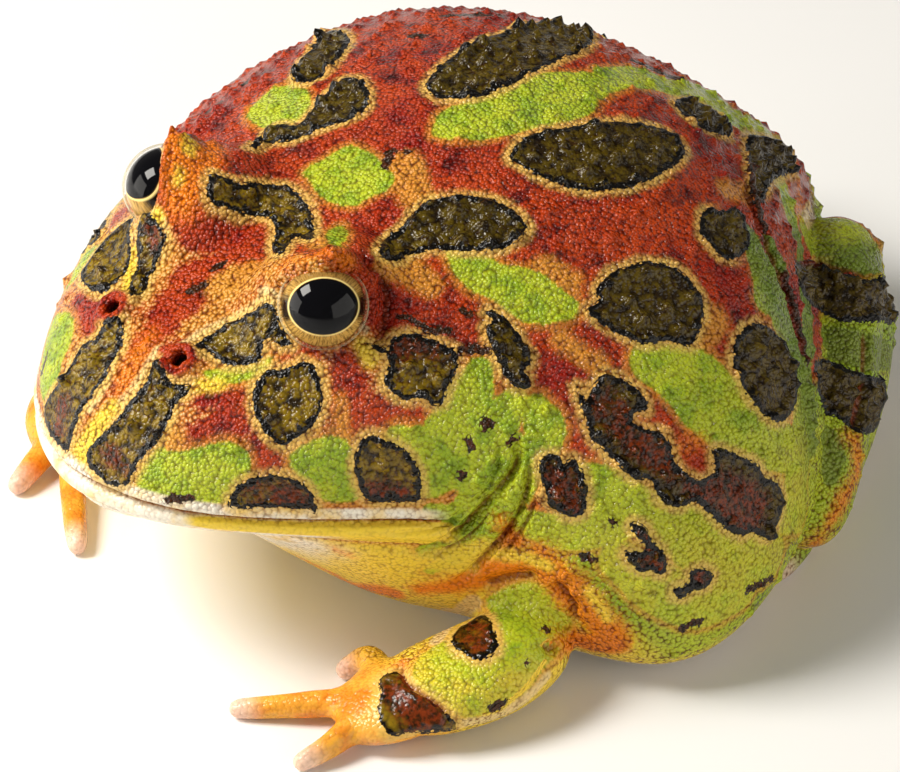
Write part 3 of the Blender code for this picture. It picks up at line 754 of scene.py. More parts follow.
def blotch(field, corners, seen=True, turned_to=None):
    """Paint a closed outline, given as places in the picture or on the skin."""
    outline = np.array([on_skin(place) for place in curve(corners, True)]) if seen else corners
    middle = outline.mean(axis=0)
    axes = np.linalg.svd(outline - middle)[2]
    flat = (outline - middle) @ axes[:2].T
    size = np.linalg.norm(outline - middle, axis=1).max() + BLOTCH_REACH
    close = np.flatnonzero(np.linalg.norm(clay.points - middle, axis=1) < size)
    spot = tree.find_nearest(Vector(to_metres(middle)))
    facing = clay.normals[close] @ np.array(spot[1])
    close = close[facing > 0.15]
    close = close[np.abs((clay.points[close] - middle) @ axes[2]) < BLOTCH_CURVES]
    places = (clay.points[close] - middle) @ axes[:2].T
    inside = np.zeros(len(close), bool)
    distance = np.full(len(close), 1e9)
    for a, b in zip(flat, np.roll(flat, -1, axis=0)):
        crosses = (a[1] > places[:, 1]) != (b[1] > places[:, 1])
        rise = b[1] - a[1] if abs(b[1] - a[1]) > 1e-12 else 1e-12
        inside ^= crosses & (places[:, 0] < (b[0] - a[0]) * (places[:, 1] - a[1]) / rise + a[0])
        span = b - a
        t = np.clip((places - a) @ span / max(span @ span, 1e-12), 0.0, 1.0)
        distance = np.minimum(distance, np.linalg.norm(places - a - t[:, None] * span, axis=1))
    signed = np.where(inside, distance, -distance)
    if turned_to is not None:
        signed -= HIDDEN_FADE * step_of(clay.normals[close] @ turned_to, -0.25, 0.05)
    fields[field][close] = np.maximum(fields[field][close], signed)


def stroke(field, chain, seen=True):
    """Paint a bent line whose width may change: places with a radius in mm."""
    chain = curve(chain)
    line = np.array([on_skin(place[:2]) for place in chain]) if seen else chain[:, :3]
    radius = chain[:, -1]
    distance, share = line_distance(clay.points, line)
    width = np.interp(share, np.linspace(0.0, 1.0, len(radius)), radius)
    fields[field] = np.maximum(fields[field], width - distance)


print("fields", sorted(fields))

# %% [markdown]
# ## Blotches on the side that faces the camera
# Each row below is one blotch, as its corners in the picture. Nearly every
# one is olive brown with a black rim. Their shapes are free: ovals on the
# back, bars down the lip, and a crooked bar between the eyes.

# %% Paint the near blotches
BLOTCHES = (
    ((212, 174), (236, 183), (262, 184), (288, 187), (302, 198), (312, 214), (313, 238), (303, 239),
     (294, 238), (288, 248), (280, 255), (273, 248), (276, 228), (268, 218), (245, 215), (225, 208),
     (210, 202), (207, 188)),
    ((143, 213), (154, 217), (163, 229), (166, 241), (159, 257), (156, 268), (148, 280), (146, 291),
     (138, 298), (129, 297), (130, 285), (137, 270), (138, 254), (137, 238)),
    ((133, 218), (120, 226), (104, 241), (90, 260), (81, 274), (84, 284), (100, 294), (113, 286),
     (123, 275), (131, 260), (131, 244), (130, 230)),
    ((106, 208), (106, 224), (99, 238), (90, 246), (77, 252), (84, 236), (95, 218)),
    ((121, 318), (106, 320), (96, 338), (82, 346), (74, 360), (65, 376), (54, 390), (46, 404),
     (45, 420), (50, 434), (60, 446), (68, 452), (72, 436), (78, 420), (84, 406), (94, 394),
     (104, 380), (112, 362), (122, 345)),
    ((162, 362), (153, 368), (145, 384), (132, 400), (118, 418), (104, 434), (88, 450), (88, 464),
     (98, 474), (108, 484), (122, 486), (132, 478), (140, 462), (150, 448), (160, 438), (168, 420),
     (178, 402), (190, 391), (191, 384), (180, 386), (168, 378)),
    ((196, 346), (206, 337), (222, 328), (242, 317), (256, 309), (268, 302), (277, 314), (281, 328),
     (292, 344), (282, 346), (270, 338), (262, 347), (261, 359), (246, 364), (230, 367), (218, 359),
     (206, 350)),
    ((270, 369), (282, 371), (293, 365), (304, 361), (315, 368), (321, 382), (322, 398), (319, 414),
     (311, 428), (298, 438), (282, 445), (270, 437), (260, 424), (253, 408), (254, 390), (261, 376)),
    ((248, 148), (261, 140), (268, 130), (280, 124), (297, 126), (307, 116), (320, 100), (332, 90),
     (342, 79), (358, 79), (368, 90), (369, 102), (363, 113), (350, 120), (332, 125), (312, 133),
     (296, 140), (272, 144), (256, 149)),
    ((378, 254), (385, 241), (400, 229), (414, 213), (430, 201), (455, 196), (480, 197), (502, 204),
     (520, 217), (527, 229), (518, 241), (500, 249), (475, 251), (445, 250), (415, 253), (398, 260),
     (386, 259)),
    ((427, 88), (431, 77), (445, 63), (462, 51), (482, 39), (505, 33), (520, 26), (550, 23),
     (580, 26), (592, 38), (586, 49), (566, 58), (540, 69), (515, 82), (492, 93), (465, 99),
     (440, 98)),
    ((509, 158), (518, 144), (534, 134), (560, 129), (590, 124), (620, 122), (650, 126), (672, 134),
     (685, 148), (678, 162), (655, 178), (625, 188), (595, 191), (565, 187), (540, 176), (522, 166)),
    ((701, 216), (710, 209), (722, 211), (734, 207), (743, 215), (747, 228), (750, 242), (742, 255),
     (732, 260), (720, 256), (709, 245), (701, 234)),
    ((588, 309), (600, 299), (595, 293), (604, 279), (620, 269), (645, 262), (668, 266), (684, 274),
     (696, 289), (703, 306), (700, 324), (692, 345), (680, 344), (664, 341), (648, 344), (626, 338),
     (606, 326), (593, 317)),
    ((732, 352), (736, 338), (747, 327), (760, 323), (773, 331), (784, 345), (792, 362), (797, 384),
     (795, 405), (785, 419), (772, 421), (760, 411), (748, 398), (739, 380), (733, 365)),
    ((577, 387), (586, 402), (590, 392), (603, 376), (622, 380), (636, 388), (645, 401), (647, 411),
     (636, 412), (633, 421), (645, 429), (661, 432), (669, 444), (673, 458), (680, 470), (700, 480),
     (714, 470), (712, 451), (722, 449), (742, 457), (758, 466), (764, 478), (778, 484), (783, 500),
     (778, 522), (766, 538), (752, 532), (738, 535), (722, 526), (708, 512), (695, 502), (678, 506),
     (660, 500), (654, 488), (648, 478), (634, 478), (620, 466), (606, 452), (592, 438), (586, 420)),
    ((366, 344), (380, 346), (388, 350), (394, 338), (412, 334), (432, 340), (446, 346), (458, 354),
     (455, 372), (448, 388), (443, 402), (433, 405), (424, 398), (405, 399), (392, 392), (384, 381),
     (389, 368), (389, 356), (378, 351)),
    ((486, 328), (491, 344), (499, 360), (507, 377), (519, 387), (527, 382), (524, 370), (531, 360),
     (523, 344), (514, 329), (504, 318), (494, 311), (485, 312), (492, 321)),
    ((362, 441), (372, 435), (386, 440), (402, 448), (412, 458), (418, 468), (421, 484), (419, 500),
     (402, 501), (385, 502), (368, 499), (360, 488), (355, 468), (357, 452)),
    ((229, 506), (232, 494), (240, 484), (256, 477), (276, 475), (292, 478), (306, 487), (314, 498),
     (316, 513), (306, 508), (288, 507), (266, 507), (248, 508)),
    ((541, 460), (551, 455), (560, 456), (563, 466), (572, 458), (580, 468), (585, 482), (586, 500),
     (583, 513), (572, 517), (560, 511), (549, 502), (545, 488), (540, 474)),
    ((631, 523), (644, 526), (650, 538), (662, 550), (667, 565), (661, 575), (650, 570), (640, 571),
     (629, 560), (626, 551), (640, 552), (646, 544), (636, 535)),
    ((690, 572), (702, 568), (713, 576), (706, 587), (692, 590), (684, 598), (674, 596), (674, 588),
     (688, 583)),
    ((294, 82), (296, 68), (303, 57), (314, 48), (322, 34), (338, 31), (350, 40), (342, 55),
     (332, 69), (318, 79), (304, 84)),
    ((674, 101), (688, 100), (706, 106), (722, 118), (729, 137), (708, 131), (690, 121), (680, 112)),
    ((746, 137), (762, 137), (778, 140), (790, 142), (792, 160), (795, 172), (778, 177), (768, 186),
     (764, 200), (756, 206), (750, 190), (746, 165)),
    ((452, 638), (459, 629), (469, 623), (480, 616), (488, 618), (492, 625), (498, 645), (492, 655),
     (478, 660), (464, 654), (454, 646)),
    ((381, 694), (380, 680), (394, 672), (404, 678), (412, 690), (430, 700), (446, 714), (456, 728),
     (448, 735), (430, 734), (408, 732), (392, 735), (382, 724), (378, 710)),
    ((795, 262), (820, 266), (845, 276), (870, 280), (886, 276), (893, 296), (895, 322), (870, 322),
     (845, 322), (828, 316), (812, 306), (800, 288)),
    ((815, 362), (840, 365), (860, 374), (884, 382), (886, 405), (878, 428), (858, 434), (840, 420),
     (824, 412), (818, 392)),
)
STROKES = (  # places and a radius in mm
    ((398, 318, 0.3), (412, 320, 0.45), (430, 330, 0.5), (449, 331, 0.35)),
    ((458, 353, 0.4), (472, 349, 0.5), (490, 352, 0.4)),
    ((214, 269, 0.5), (225, 262, 0.5)),
    ((189, 292, 0.5), (205, 284, 0.5)),
    ((386, 165, 0.7), (391, 153, 0.7)),
    ((405, 152, 0.4), (407, 153, 0.4)),
    ((410, 36, 0.5), (425, 36, 0.5)),
    ((487, 423, 0.8), (488, 424, 0.8)),
    ((468, 440, 0.5), (471, 447, 0.6)),
    ((462, 474, 0.6), (463, 475, 0.6)),
    ((508, 443, 0.4), (515, 438, 0.4)),
    ((166, 500, 0.35), (180, 498, 0.6), (192, 499, 0.35)),
    ((463, 311, 0.6), (469, 314, 0.5)),
    ((545, 627, 0.5), (547, 629, 0.5)),
    ((527, 663, 0.4), (529, 664, 0.4)),
    ((492, 708, 0.7), (505, 703, 0.6)),
    ((312, 270, 0.4), (313, 271, 0.4)),
    ((331, 267, 0.4), (333, 268, 0.4)),
    ((444, 16, 0.7), (470, 15, 0.9), (500, 16, 0.6)),
    ((636, 62, 0.7), (655, 70, 1.0), (678, 80, 0.8)),
    ((244, 84, 0.7), (250, 80, 0.6)),
    ((204, 115, 0.7), (218, 104, 0.8)),
    ((585, 556, 0.6), (592, 560, 0.5)),
    ((611, 519, 0.35), (614, 524, 0.35)),
    ((682, 628, 0.5), (702, 620, 0.5)),
    ((748, 590, 0.6), (772, 578, 0.5)),
    ((42, 372, 0.6), (46, 358, 0.5)),
    # The next two strokes are painted shade: a dark line along the fold between the flank and the
    # thigh.
    ((748, 165, 0.8), (752, 190, 0.8), (764, 230, 0.6)),
    ((782, 278, 0.7), (792, 306, 0.8), (797, 330, 0.8), (803, 362, 0.7)),
)
for corners in BLOTCHES:
    blotch("dark", corners)
for chain in STROKES:
    stroke("dots", chain)
print("near blotches", len(BLOTCHES) + len(STROKES))

# %% [markdown]
# ## Green patches and red lines
# Bright green lies between the blotches: a diamond on the crown, a long band
# over the back, and most of the cheek and flank.

# %% Paint the near green
GREENS = (
    ((304, 172), (320, 162), (335, 152), (350, 146), (365, 151), (378, 160), (394, 178), (386, 190),
     (370, 197), (356, 205), (340, 205), (324, 198), (314, 187)),
    ((247, 115), (258, 100), (275, 88), (295, 86), (308, 93), (311, 105), (300, 120), (285, 126),
     (266, 128), (252, 124)),
    ((432, 132), (440, 114), (460, 104), (488, 94), (515, 83), (540, 73), (565, 72), (595, 75),
     (598, 100), (588, 115), (560, 124), (530, 130), (495, 138), (460, 140), (440, 138)),
    ((590, 74), (620, 66), (645, 70), (668, 79), (700, 82), (722, 96), (735, 111), (765, 122),
     (784, 131), (788, 140), (760, 138), (735, 128), (715, 112), (690, 102), (662, 92), (640, 88),
     (615, 92), (598, 100)),
    ((444, 251), (460, 252), (485, 256), (505, 265), (528, 268), (545, 276), (562, 290), (578, 303),
     (574, 318), (555, 323), (530, 324), (510, 314), (492, 300), (472, 292), (458, 278)),
    ((204, 372), (225, 368), (250, 364), (272, 356), (268, 370), (252, 379), (232, 383), (214, 382)),
    ((290, 456), (310, 441), (330, 437), (346, 441), (353, 456), (354, 478), (360, 498), (338, 502),
     (318, 498), (306, 484), (294, 472)),
    ((136, 486), (142, 466), (158, 448), (176, 452), (200, 448), (228, 442), (246, 452), (250, 468),
     (244, 480), (232, 494), (226, 504), (200, 503), (170, 497), (150, 494)),
    ((76, 254), (96, 246), (110, 236), (92, 256), (80, 274), (64, 290), (66, 274)),
    ((100, 208), (112, 196), (128, 184), (128, 196), (114, 206), (104, 214)),
    ((54, 318), (66, 312), (74, 322), (72, 340), (62, 362), (56, 384), (44, 400), (40, 380),
     (44, 350)),
    ((326, 233), (340, 226), (348, 234), (342, 243), (330, 242)),
    ((418, 660), (432, 648), (447, 640), (456, 650), (476, 662), (496, 656), (502, 638), (494, 618),
     (486, 602), (496, 592), (515, 584), (542, 584), (564, 604), (572, 628), (562, 650), (544, 668),
     (526, 692), (498, 712), (468, 718), (446, 708), (424, 692), (412, 678)),
)
GREEN_STROKES = (
    ((432, 512, 1.2), (452, 516, 2.0), (476, 505, 2.8), (500, 478, 2.6), (512, 450, 2.4)),
    ((440, 536, 1.4), (470, 540, 2.2), (500, 515, 2.4), (520, 480, 2.4)),
    ((400, 440, 2.0), (430, 450, 3.6), (455, 425, 3.2), (470, 395, 3.0), (480, 370, 1.6)),
    ((430, 480, 2.6), (470, 455, 3.2), (500, 420, 2.6), (515, 400, 1.6)),
    ((470, 490, 1.5), (500, 470, 1.6), (515, 450, 1.8)),
    ((535, 410, 2.0), (545, 430, 2.6), (535, 460, 2.0), (520, 490, 1.6)),
    ((650, 362, 2.8), (690, 380, 4.4), (715, 405, 4.8), (760, 435, 4.2), (800, 455, 2.6)),
    ((765, 245, 1.4), (775, 275, 2.6), (790, 330, 2.2), (808, 380, 1.8), (812, 430, 1.6),
     (800, 470, 2.4), (800, 515, 2.6)),
    ((760, 270, 2.0), (765, 300, 2.2)),
    ((520, 520, 1.8), (560, 532, 2.6), (600, 520, 3.6), (640, 510, 3.0), (680, 530, 3.6),
     (730, 560, 4.2), (770, 560, 3.4)),
    ((620, 560, 2.6), (660, 590, 3.4), (700, 605, 3.4), (740, 590, 3.4)),
    ((425, 550, 1.0), (450, 545, 1.2), (480, 525, 1.2)),
    ((430, 570, 0.8), (470, 552, 0.8)),
    ((806, 234, 3.0), (830, 228, 3.0), (856, 236, 3.4), (874, 256, 2.4), (840, 248, 4.0)),
    ((776, 182, 1.2), (786, 200, 1.4), (790, 222, 1.2)),
    ((560, 470, 0.6), (600, 480, 2.0), (640, 500, 2.0)),
    ((750, 238, 2.0), (768, 285, 3.0), (792, 345, 3.0), (803, 405, 3.0), (800, 460, 3.4),
     (790, 510, 3.2)),
    ((778, 170, 1.6), (790, 212, 2.2), (800, 255, 2.2), (806, 300, 2.2), (809, 345, 2.0)),
    ((830, 342, 2.2), (860, 350, 2.8), (888, 355, 2.0)),
    ((822, 432, 1.2), (834, 450, 1.8), (830, 475, 1.4)),
)
for corners in GREENS:
    blotch("green", corners)
for chain in GREEN_STROKES:
    stroke("green", chain)
print("near green patches", len(GREENS) + len(GREEN_STROKES))

# %% [markdown]
# ## Brush strokes of the other colours
# Red runs in veins over the face, ochre and cream edge the blotches, yellow
# and orange glow at the lip, the throat and the armpit, and brown warms some
# of the dark blotches. A stroke is a line with a radius, so its edge can fade.

# %% Brush in the other colours
BRUSHES = {  # field: strokes of places and a radius in mm
    "red": (
        ((205, 400, 1.0), (225, 390, 2.0), (228, 420, 2.6), (200, 440, 1.8)),
        ((345, 362, 1.2), (352, 395, 2.2), (347, 425, 1.6)),
        ((352, 412, 1.6), (390, 414, 1.8), (430, 410, 1.6), (448, 400, 0.8)),
        ((265, 440, 1.4), (268, 462, 1.9)),
        ((268, 350, 1.2), (290, 352, 1.4), (310, 356, 1.0)),
        ((405, 325, 1.8), (440, 350, 1.8), (480, 345, 1.6)),
        ((470, 320, 1.4), (430, 300, 2.0), (410, 290, 1.6)),
        ((176, 357, 2.3), (184, 360, 2.3)),
        ((92, 312, 1.8), (112, 306, 2.0)),
        ((140, 345, 1.2), (160, 325, 2.0), (180, 300, 3.0)),
        ((165, 150, 2.4), (180, 190, 3.2), (200, 225, 3.0)),
        ((210, 235, 2.4), (245, 240, 3.0), (258, 262, 2.4)),
        ((200, 180, 1.6), (190, 160, 2.0)),
        ((185, 280, 2.0), (215, 262, 1.6), (240, 250, 1.6)),
        ((105, 228, 0.8), (122, 212, 1.2)),
        ((80, 300, 1.4), (95, 322, 2.0), (110, 305, 1.4)),
        ((310, 245, 2.0), (330, 252, 1.8), (355, 262, 1.8), (372, 285, 1.4)),
        ((325, 215, 2.0), (360, 225, 2.4), (375, 240, 2.0)),
        ((222, 155, 2.4), (255, 160, 2.6), (290, 158, 2.4)),
        ((545, 350, 2.4), (556, 400, 1.8), (566, 445, 1.6)),
        ((598, 365, 1.6), (575, 350, 2.4)),
        ((610, 465, 1.2), (640, 480, 1.2), (560, 450, 1.0)),
        ((705, 410, 0.8), (690, 445, 1.4)),
    ),
    "ochre": (
        ((388, 262, 1.8), (410, 272, 2.4), (428, 285, 1.8)),
        ((300, 226, 1.4), (318, 246, 1.4)),
        ((225, 285, 2.2), (250, 272, 2.2), (268, 262, 1.4)),
        ((150, 420, 2.0), (170, 440, 2.0), (165, 455, 1.2)),
        ((340, 400, 0.8), (345, 440, 1.0)),
        ((405, 165, 2.2), (415, 195, 2.2)),
        ((540, 265, 1.2), (572, 282, 1.6)),
        ((700, 340, 1.8), (715, 320, 2.0)),
        ((725, 190, 1.6), (745, 195, 1.4)),
        ((600, 365, 1.2), (560, 340, 1.4)),
    ),
    "yellow": (
        ((112, 408, 1.0), (98, 425, 1.3), (82, 452, 1.6)),
        ((134, 250, 0.5), (131, 270, 0.7), (126, 288, 0.6)),
        ((150, 225, 0.8), (158, 214, 0.9)),
        ((194, 140, 0.7), (190, 150, 0.8)),
        ((180, 172, 0.5), (178, 182, 0.5)),
        ((200, 386, 0.8), (220, 384, 0.8)),
        ((370, 360, 1.0), (362, 345, 0.8)),
        ((470, 552, 0.6), (520, 556, 1.0), (548, 566, 0.8)),
        ((590, 592, 0.8), (608, 618, 0.8)),
        ((430, 560, 1.4), (470, 566, 1.2)),
        ((415, 562, 1.4), (450, 560, 2.0), (485, 548, 1.6)),
    ),
    "orange": (
        ((176, 146, 2.6), (186, 175, 3.4), (182, 205, 2.6), (215, 148, 1.8)),
        ((286, 262, 1.2), (320, 255, 1.6), (350, 262, 1.4)),
        ((336, 550, 0.4), (350, 556, 0.4)),
        ((300, 562, 1.0), (345, 583, 1.6), (390, 592, 2.0)),
        ((420, 590, 1.6), (470, 582, 2.2), (520, 562, 2.4)),
        ((540, 560, 3.0), (580, 600, 3.4), (610, 640, 2.6), (560, 640, 2.0)),
        ((515, 540, 1.6), (500, 520, 0.8)),
        ((325, 698, 1.0), (350, 698, 1.5), (368, 692, 1.2)),
        ((385, 690, 0.9), (400, 668, 1.0)),
        ((125, 385, 1.2), (135, 360, 1.4), (150, 335, 1.2)),
        ((60, 405, 0.8), (66, 428, 1.0)),
        ((852, 438, 1.6), (858, 470, 1.6), (835, 515, 1.6), (815, 545, 1.4)),
        ((30, 470, 2.4), (12, 482, 1.6)),
        ((800, 185, 1.0), (798, 215, 1.0)),
        ((655, 455, 1.0), (700, 440, 1.0)),
    ),
    "brown": (
        ((62, 405, 1.6), (58, 430, 1.8)),
        ((110, 455, 1.4), (125, 470, 1.2)),
        ((455, 625, 2.4), (485, 640, 2.6)),
        ((395, 690, 2.2), (425, 720, 2.6)),
        ((600, 400, 2.0), (640, 440, 2.4), (700, 480, 2.6), (750, 510, 3.4)),
        ((560, 480, 2.4), (565, 505, 2.2)),
        ((640, 535, 1.6), (655, 565, 1.6)),
        ((690, 580, 1.8), (705, 578, 1.6)),
        ((255, 490, 1.8), (300, 500, 1.8)),
        ((375, 490, 1.6), (400, 495, 1.6)),
        ((395, 350, 1.8), (420, 342, 1.8), (440, 350, 1.6)),
        ((150, 225, 1.4), (155, 245, 1.2)),
    ),
    "cream": (
        ((180, 344, 0.5), (205, 332, 0.6), (245, 312, 0.6), (272, 296, 0.9)),
        ((266, 292, 0.8), (270, 312, 1.0), (266, 330, 0.6)),
        ((157, 350, 0.5), (140, 378, 0.6), (118, 408, 0.6)),
        ((116, 350, 0.5), (104, 384, 0.6), (90, 408, 0.6)),
        ((148, 208, 0.6), (158, 222, 0.9), (166, 232, 0.5)),
        ((160, 150, 0.3), (158, 170, 0.35), (154, 192, 0.5), (150, 208, 0.8)),
        ((810, 208, 1.2), (806, 222, 1.2)),
        ((437, 640, 1.0), (455, 618, 1.2), (474, 600, 1.0)),
        ((462, 724, 0.6), (498, 716, 0.7), (528, 698, 0.7), (548, 676, 0.6)),
    ),
}
for field, strokes in BRUSHES.items():
    for chain in strokes:
        stroke(field, chain)
print("brushes", {field: len(strokes) for field, strokes in BRUSHES.items()})

# %% [markdown]
# ## The side that the camera doesn't see
# The pattern of such a frog is never quite the same on both sides, but it has
# the same kinds of blotch in the same places. So the hidden side gets its own
# blotches of the same make. Each is an uneven oval, laid on the skin where a
# ray from inside the body comes out.

# %% Paint the hidden side
INSIDE_Z = 20.0
HIDDEN_SEED, OVAL_POINTS = 5, 28
HIDDEN_BLOTCHES = (  # y, angle from the left over the back, half length, half width, turn
    (26.0, 128.0, 7.0, 4.6, 20.0), (42.0, 132.0, 8.0, 5.0, -15.0), (58.0, 126.0, 8.5, 5.4, 10.0),
    (73.0, 118.0, 6.0, 4.4, 30.0), (20.0, 154.0, 6.0, 4.6, 60.0), (36.0, 158.0, 7.5, 5.0, 40.0),
    (52.0, 156.0, 8.0, 5.2, -30.0), (66.0, 148.0, 6.4, 4.4, 10.0), (28.0, 178.0, 5.0, 3.4, 10.0),
    (44.0, 180.0, 6.6, 4.2, 0.0), (58.0, 176.0, 5.0, 3.4, 25.0), (82.0, 104.0, 4.6, 3.4, 0.0),
    (86.0, 70.0, 4.0, 3.0, 20.0), (74.0, 62.0, 5.0, 3.6, 40.0), (90.0, 140.0, 3.0, 2.2, 0.0),
    (78.0, 150.0, 4.6, 3.2, 0.0), (70.0, 176.0, 4.0, 2.8, 0.0), (12.0, 150.0, 3.6, 2.6, 0.0),
    (64.0, 92.0, 6.4, 4.6, 60.0),
)
HIDDEN_GREENS = (
    (34.0, 142.0, 6.0, 4.0, 0.0), (50.0, 142.0, 6.0, 3.6, 20.0), (66.0, 134.0, 6.0, 4.0, 0.0),
    (30.0, 196.0, 14.0, 9.0, 0.0), (48.0, 196.0, 14.0, 9.0, 0.0), (62.0, 190.0, 10.0, 7.0, 0.0),
    (78.0, 132.0, 5.0, 4.0, 0.0), (84.0, 88.0, 4.0, 3.0, 0.0), (20.0, 172.0, 6.0, 5.0, 0.0),
    (74.0, 160.0, 7.0, 5.0, 0.0),
)
draw = random.Random(HIDDEN_SEED)


def hidden_oval(field, y, angle, long, short, turned):
    """An uneven oval round the place where a ray leaves the body."""
    angle = math.radians(angle)
    direction = Vector((math.cos(angle), 0.0, math.sin(angle)))
    spot, normal, *_ = tree.ray_cast(Vector(to_metres((0.0, y, INSIDE_Z))), direction)
    forward = Vector((0.0, 1.0, 0.0)).cross(normal).normalized()
    back = normal.cross(forward).normalized()
    turned = math.radians(turned)
    phase = draw.uniform(0.0, 6.3)
    outline = []
    for step in range(OVAL_POINTS):
        around = 2.0 * math.pi * step / OVAL_POINTS
        uneven = 1.0 + 0.10 * math.sin(2 * around + phase) + 0.07 * math.sin(3 * around - phase)
        u, v = long * uneven * math.cos(around), short * uneven * math.sin(around)
        a = u * math.cos(turned) - v * math.sin(turned)
        b = u * math.sin(turned) + v * math.cos(turned)
        outline.append(to_mm(spot) + a * np.array(back) + b * np.array(forward))
    blotch(field, np.array(outline), seen=False, turned_to=VIEW_BACK)


for row in HIDDEN_BLOTCHES:
    hidden_oval("dark", *row)
for row in HIDDEN_GREENS:
    hidden_oval("green", *row)
for y, z in ((74.0, 17.0), (66.0, 11.0)):
    stroke("dark", ((-44.0, y - 6.0, z - 2.0, 2.4), (-34.0, y + 2.0, z + 2.0, 2.6),
                    (-26.0, y + 8.0, z + 6.0, 2.4)), seen=False)
print("hidden blotches", len(HIDDEN_BLOTCHES))

# %% [markdown]
# ## Relief of the blotches
# On the real skin each blotch is a shallow dish with a raised, beaded edge.
# The distance to its outline already says where that edge runs, so the same
# numbers that will paint the rim black also raise it.

# %% Raise the rims of the blotches
RIM_RISE, DISH_DEPTH = 0.22, 0.12


def uneven(points, size):
    """A smooth number from -1 to 1 that wanders over the skin."""
    u, v, w = (points / size).T
    return (np.sin(2.1 * u + 1.7 * v) + np.sin(1.9 * v - 2.3 * w + 1.0)
            + np.sin(2.4 * w + 1.6 * u + 2.0)) / 3.0


dark = fields["dark"]
beads = 0.75 + 0.5 * uneven(clay.points, 0.55)
clay.push(RIM_RISE * beads * bump_of(np.abs(dark - 0.45), 0.75)
          - DISH_DEPTH * step_of(dark, 0.9, 1.6))
print("rim points", int((np.abs(dark - 0.45) < 0.75).sum()))

# %% [markdown]
# ## Tubercles
# The back and sides carry pointed tubercles between much finer granules. The
# tallest stand in the dark blotches; the red skin has many low round ones, and
# the green has few. The points are scattered at random, with a seed, so that
# every run gives the same frog. The finest granules are left to the shading,
# because they are smaller than the net.

# %% Raise the tubercles
WART_SEED = 11
WART_SETS = (  # count, radii, height for each mm, point, spacing, share in dark, green, red
    (330, 0.8, 1.5, 1.05, 1.15, 2.1, (1.0, 0.0, 0.0)),
    (130, 1.1, 1.7, 0.55, 1.3, 4.6, (0.0, 0.6, 1.0)),
    (1000, 0.8, 1.25, 0.42, 0.0, 2.0, (0.9, 0.4, 1.0)),
    (1500, 0.55, 0.8, 0.34, 0.0, 1.2, (1.0, 0.6, 0.8)),
)
SPINE_ROW = (  # places in the picture
    (744, 150), (750, 190), (764, 232), (782, 275), (795, 320), (804, 366), (810, 412), (812, 455))
SPINE_RADII, SPINE_GAP, SPINE_POINT = (1.0, 1.4), 1.7, 1.1
BARE_LID, BARE_LIP, WART_TRIES = 7.2, 7.0, 6

in_hole, lid_ring = eye_masks(clay.points)
height, along_mouth = above_mouth(clay.points)
bare = in_hole | (lid_ring > 0.01) | ((along_mouth > 0.0) & (np.abs(height) < BARE_LIP))
for flip in SIDES:
    bare |= lid_measure(clay.points, flip)[0] < BARE_LID
green = fields["green"]


def warty(shares):
    """How much each place tends to grow tubercles, from 0 to 1."""
    y, z = clay.points[:, 1], clay.points[:, 2]
    bald = bare | (clay.normals[:, 2] < -0.35) | ((y < 16.0) & (z < 24.0))
    body = np.clip((y - 4.0) / 14.0, 0.12, 1.0) * np.clip((z - 4.0) / 12.0, 0.0, 1.0)
    share = np.where(dark > 0.3, shares[0], np.where(green > 0.0, shares[1], shares[2]))
    return body * share * ~bald


print("skin that stays bare", round(float(bare.mean()), 3))

# %% [markdown]
# ## Scattering them
# A row of spines follows the rear edge of the near flank. Then each set is
# scattered: a place is drawn, kept with the chance that its colour gives, and
# dropped where a neighbour is too close. All rises are gathered first, and the
# skin is pushed once, so that overlapping humps don't add up.

# %% Scatter the tubercles
draw = random.Random(WART_SEED)
finder = KDTree(len(clay.points))
for index, point in enumerate(clay.points):
    finder.insert(point, index)
finder.balance()
rise = np.zeros(len(clay.points))


def raise_wart(point, radius, steepness, pointed):
    """One tubercle: a round hump, or a cone where a point is asked for."""
    for _, other, distance in finder.find_range(point, radius):
        share = 1.0 - distance / radius
        shape = share ** pointed if pointed else share * share * (3.0 - 2.0 * share)
        rise[other] = max(rise[other], steepness * radius * shape)


last = on_skin(SPINE_ROW[0])
for place in curve(SPINE_ROW, parts=8):
    point = on_skin(place)
    if np.linalg.norm(point - last) > SPINE_GAP:
        raise_wart(point, draw.uniform(*SPINE_RADII), 1.0, SPINE_POINT)
        last = point
for count, least, greatest, steepness, pointed, spacing, shares in WART_SETS:
    taken = []
    likely = warty(shares)
    places = np.flatnonzero(likely > 0.0).tolist()
    for _ in range(count * WART_TRIES):
        if len(taken) >= count:
            break
        index = draw.choice(places)
        point = clay.points[index]
        if draw.random() > likely[index]:
            continue
        if taken and np.min(np.linalg.norm(np.array(taken) - point, axis=1)) < spacing:
            continue
        taken.append(point)
        raise_wart(point, draw.uniform(least, greatest), steepness, pointed)
    print("tubercles", len(taken))
clay.push(rise)
print("tallest tubercle in mm", round(float(rise.max()), 2))

# %% [markdown]
# ## Pointed brows
# The melting blunted the brow horns. Their points are squeezed towards the
# horn's own line and lifted a little along it.

# %% Point the horns
HORN_LIFT, HORN_SQUEEZE, HORN_REACH = 0.7, 0.6, 5.0
for flip in SIDES:
    axis = flip * (HORN_TIP - HORN_FOOT)
    axis /= np.linalg.norm(axis)
    offset = clay.points - flip * HORN_FOOT
    along = offset @ axis
    aside = offset - along[:, None] * axis
    tipped = step_of(along, 2.0, 6.5) * (np.linalg.norm(aside, axis=1) < HORN_REACH)
    clay.points += (axis * (HORN_LIFT * tipped)[:, None]
                    - aside * (HORN_SQUEEZE * tipped)[:, None])
clay.relax(np.full(len(clay.points), 0.12), 1)
print("highest point", clay.points[clay.points[:, 2].argmax()].round(1))

# %% [markdown]
# ## Flat places on the floor
# Belly, hands and feet rest on the floor, so every point that reaches below
# it is set on it.

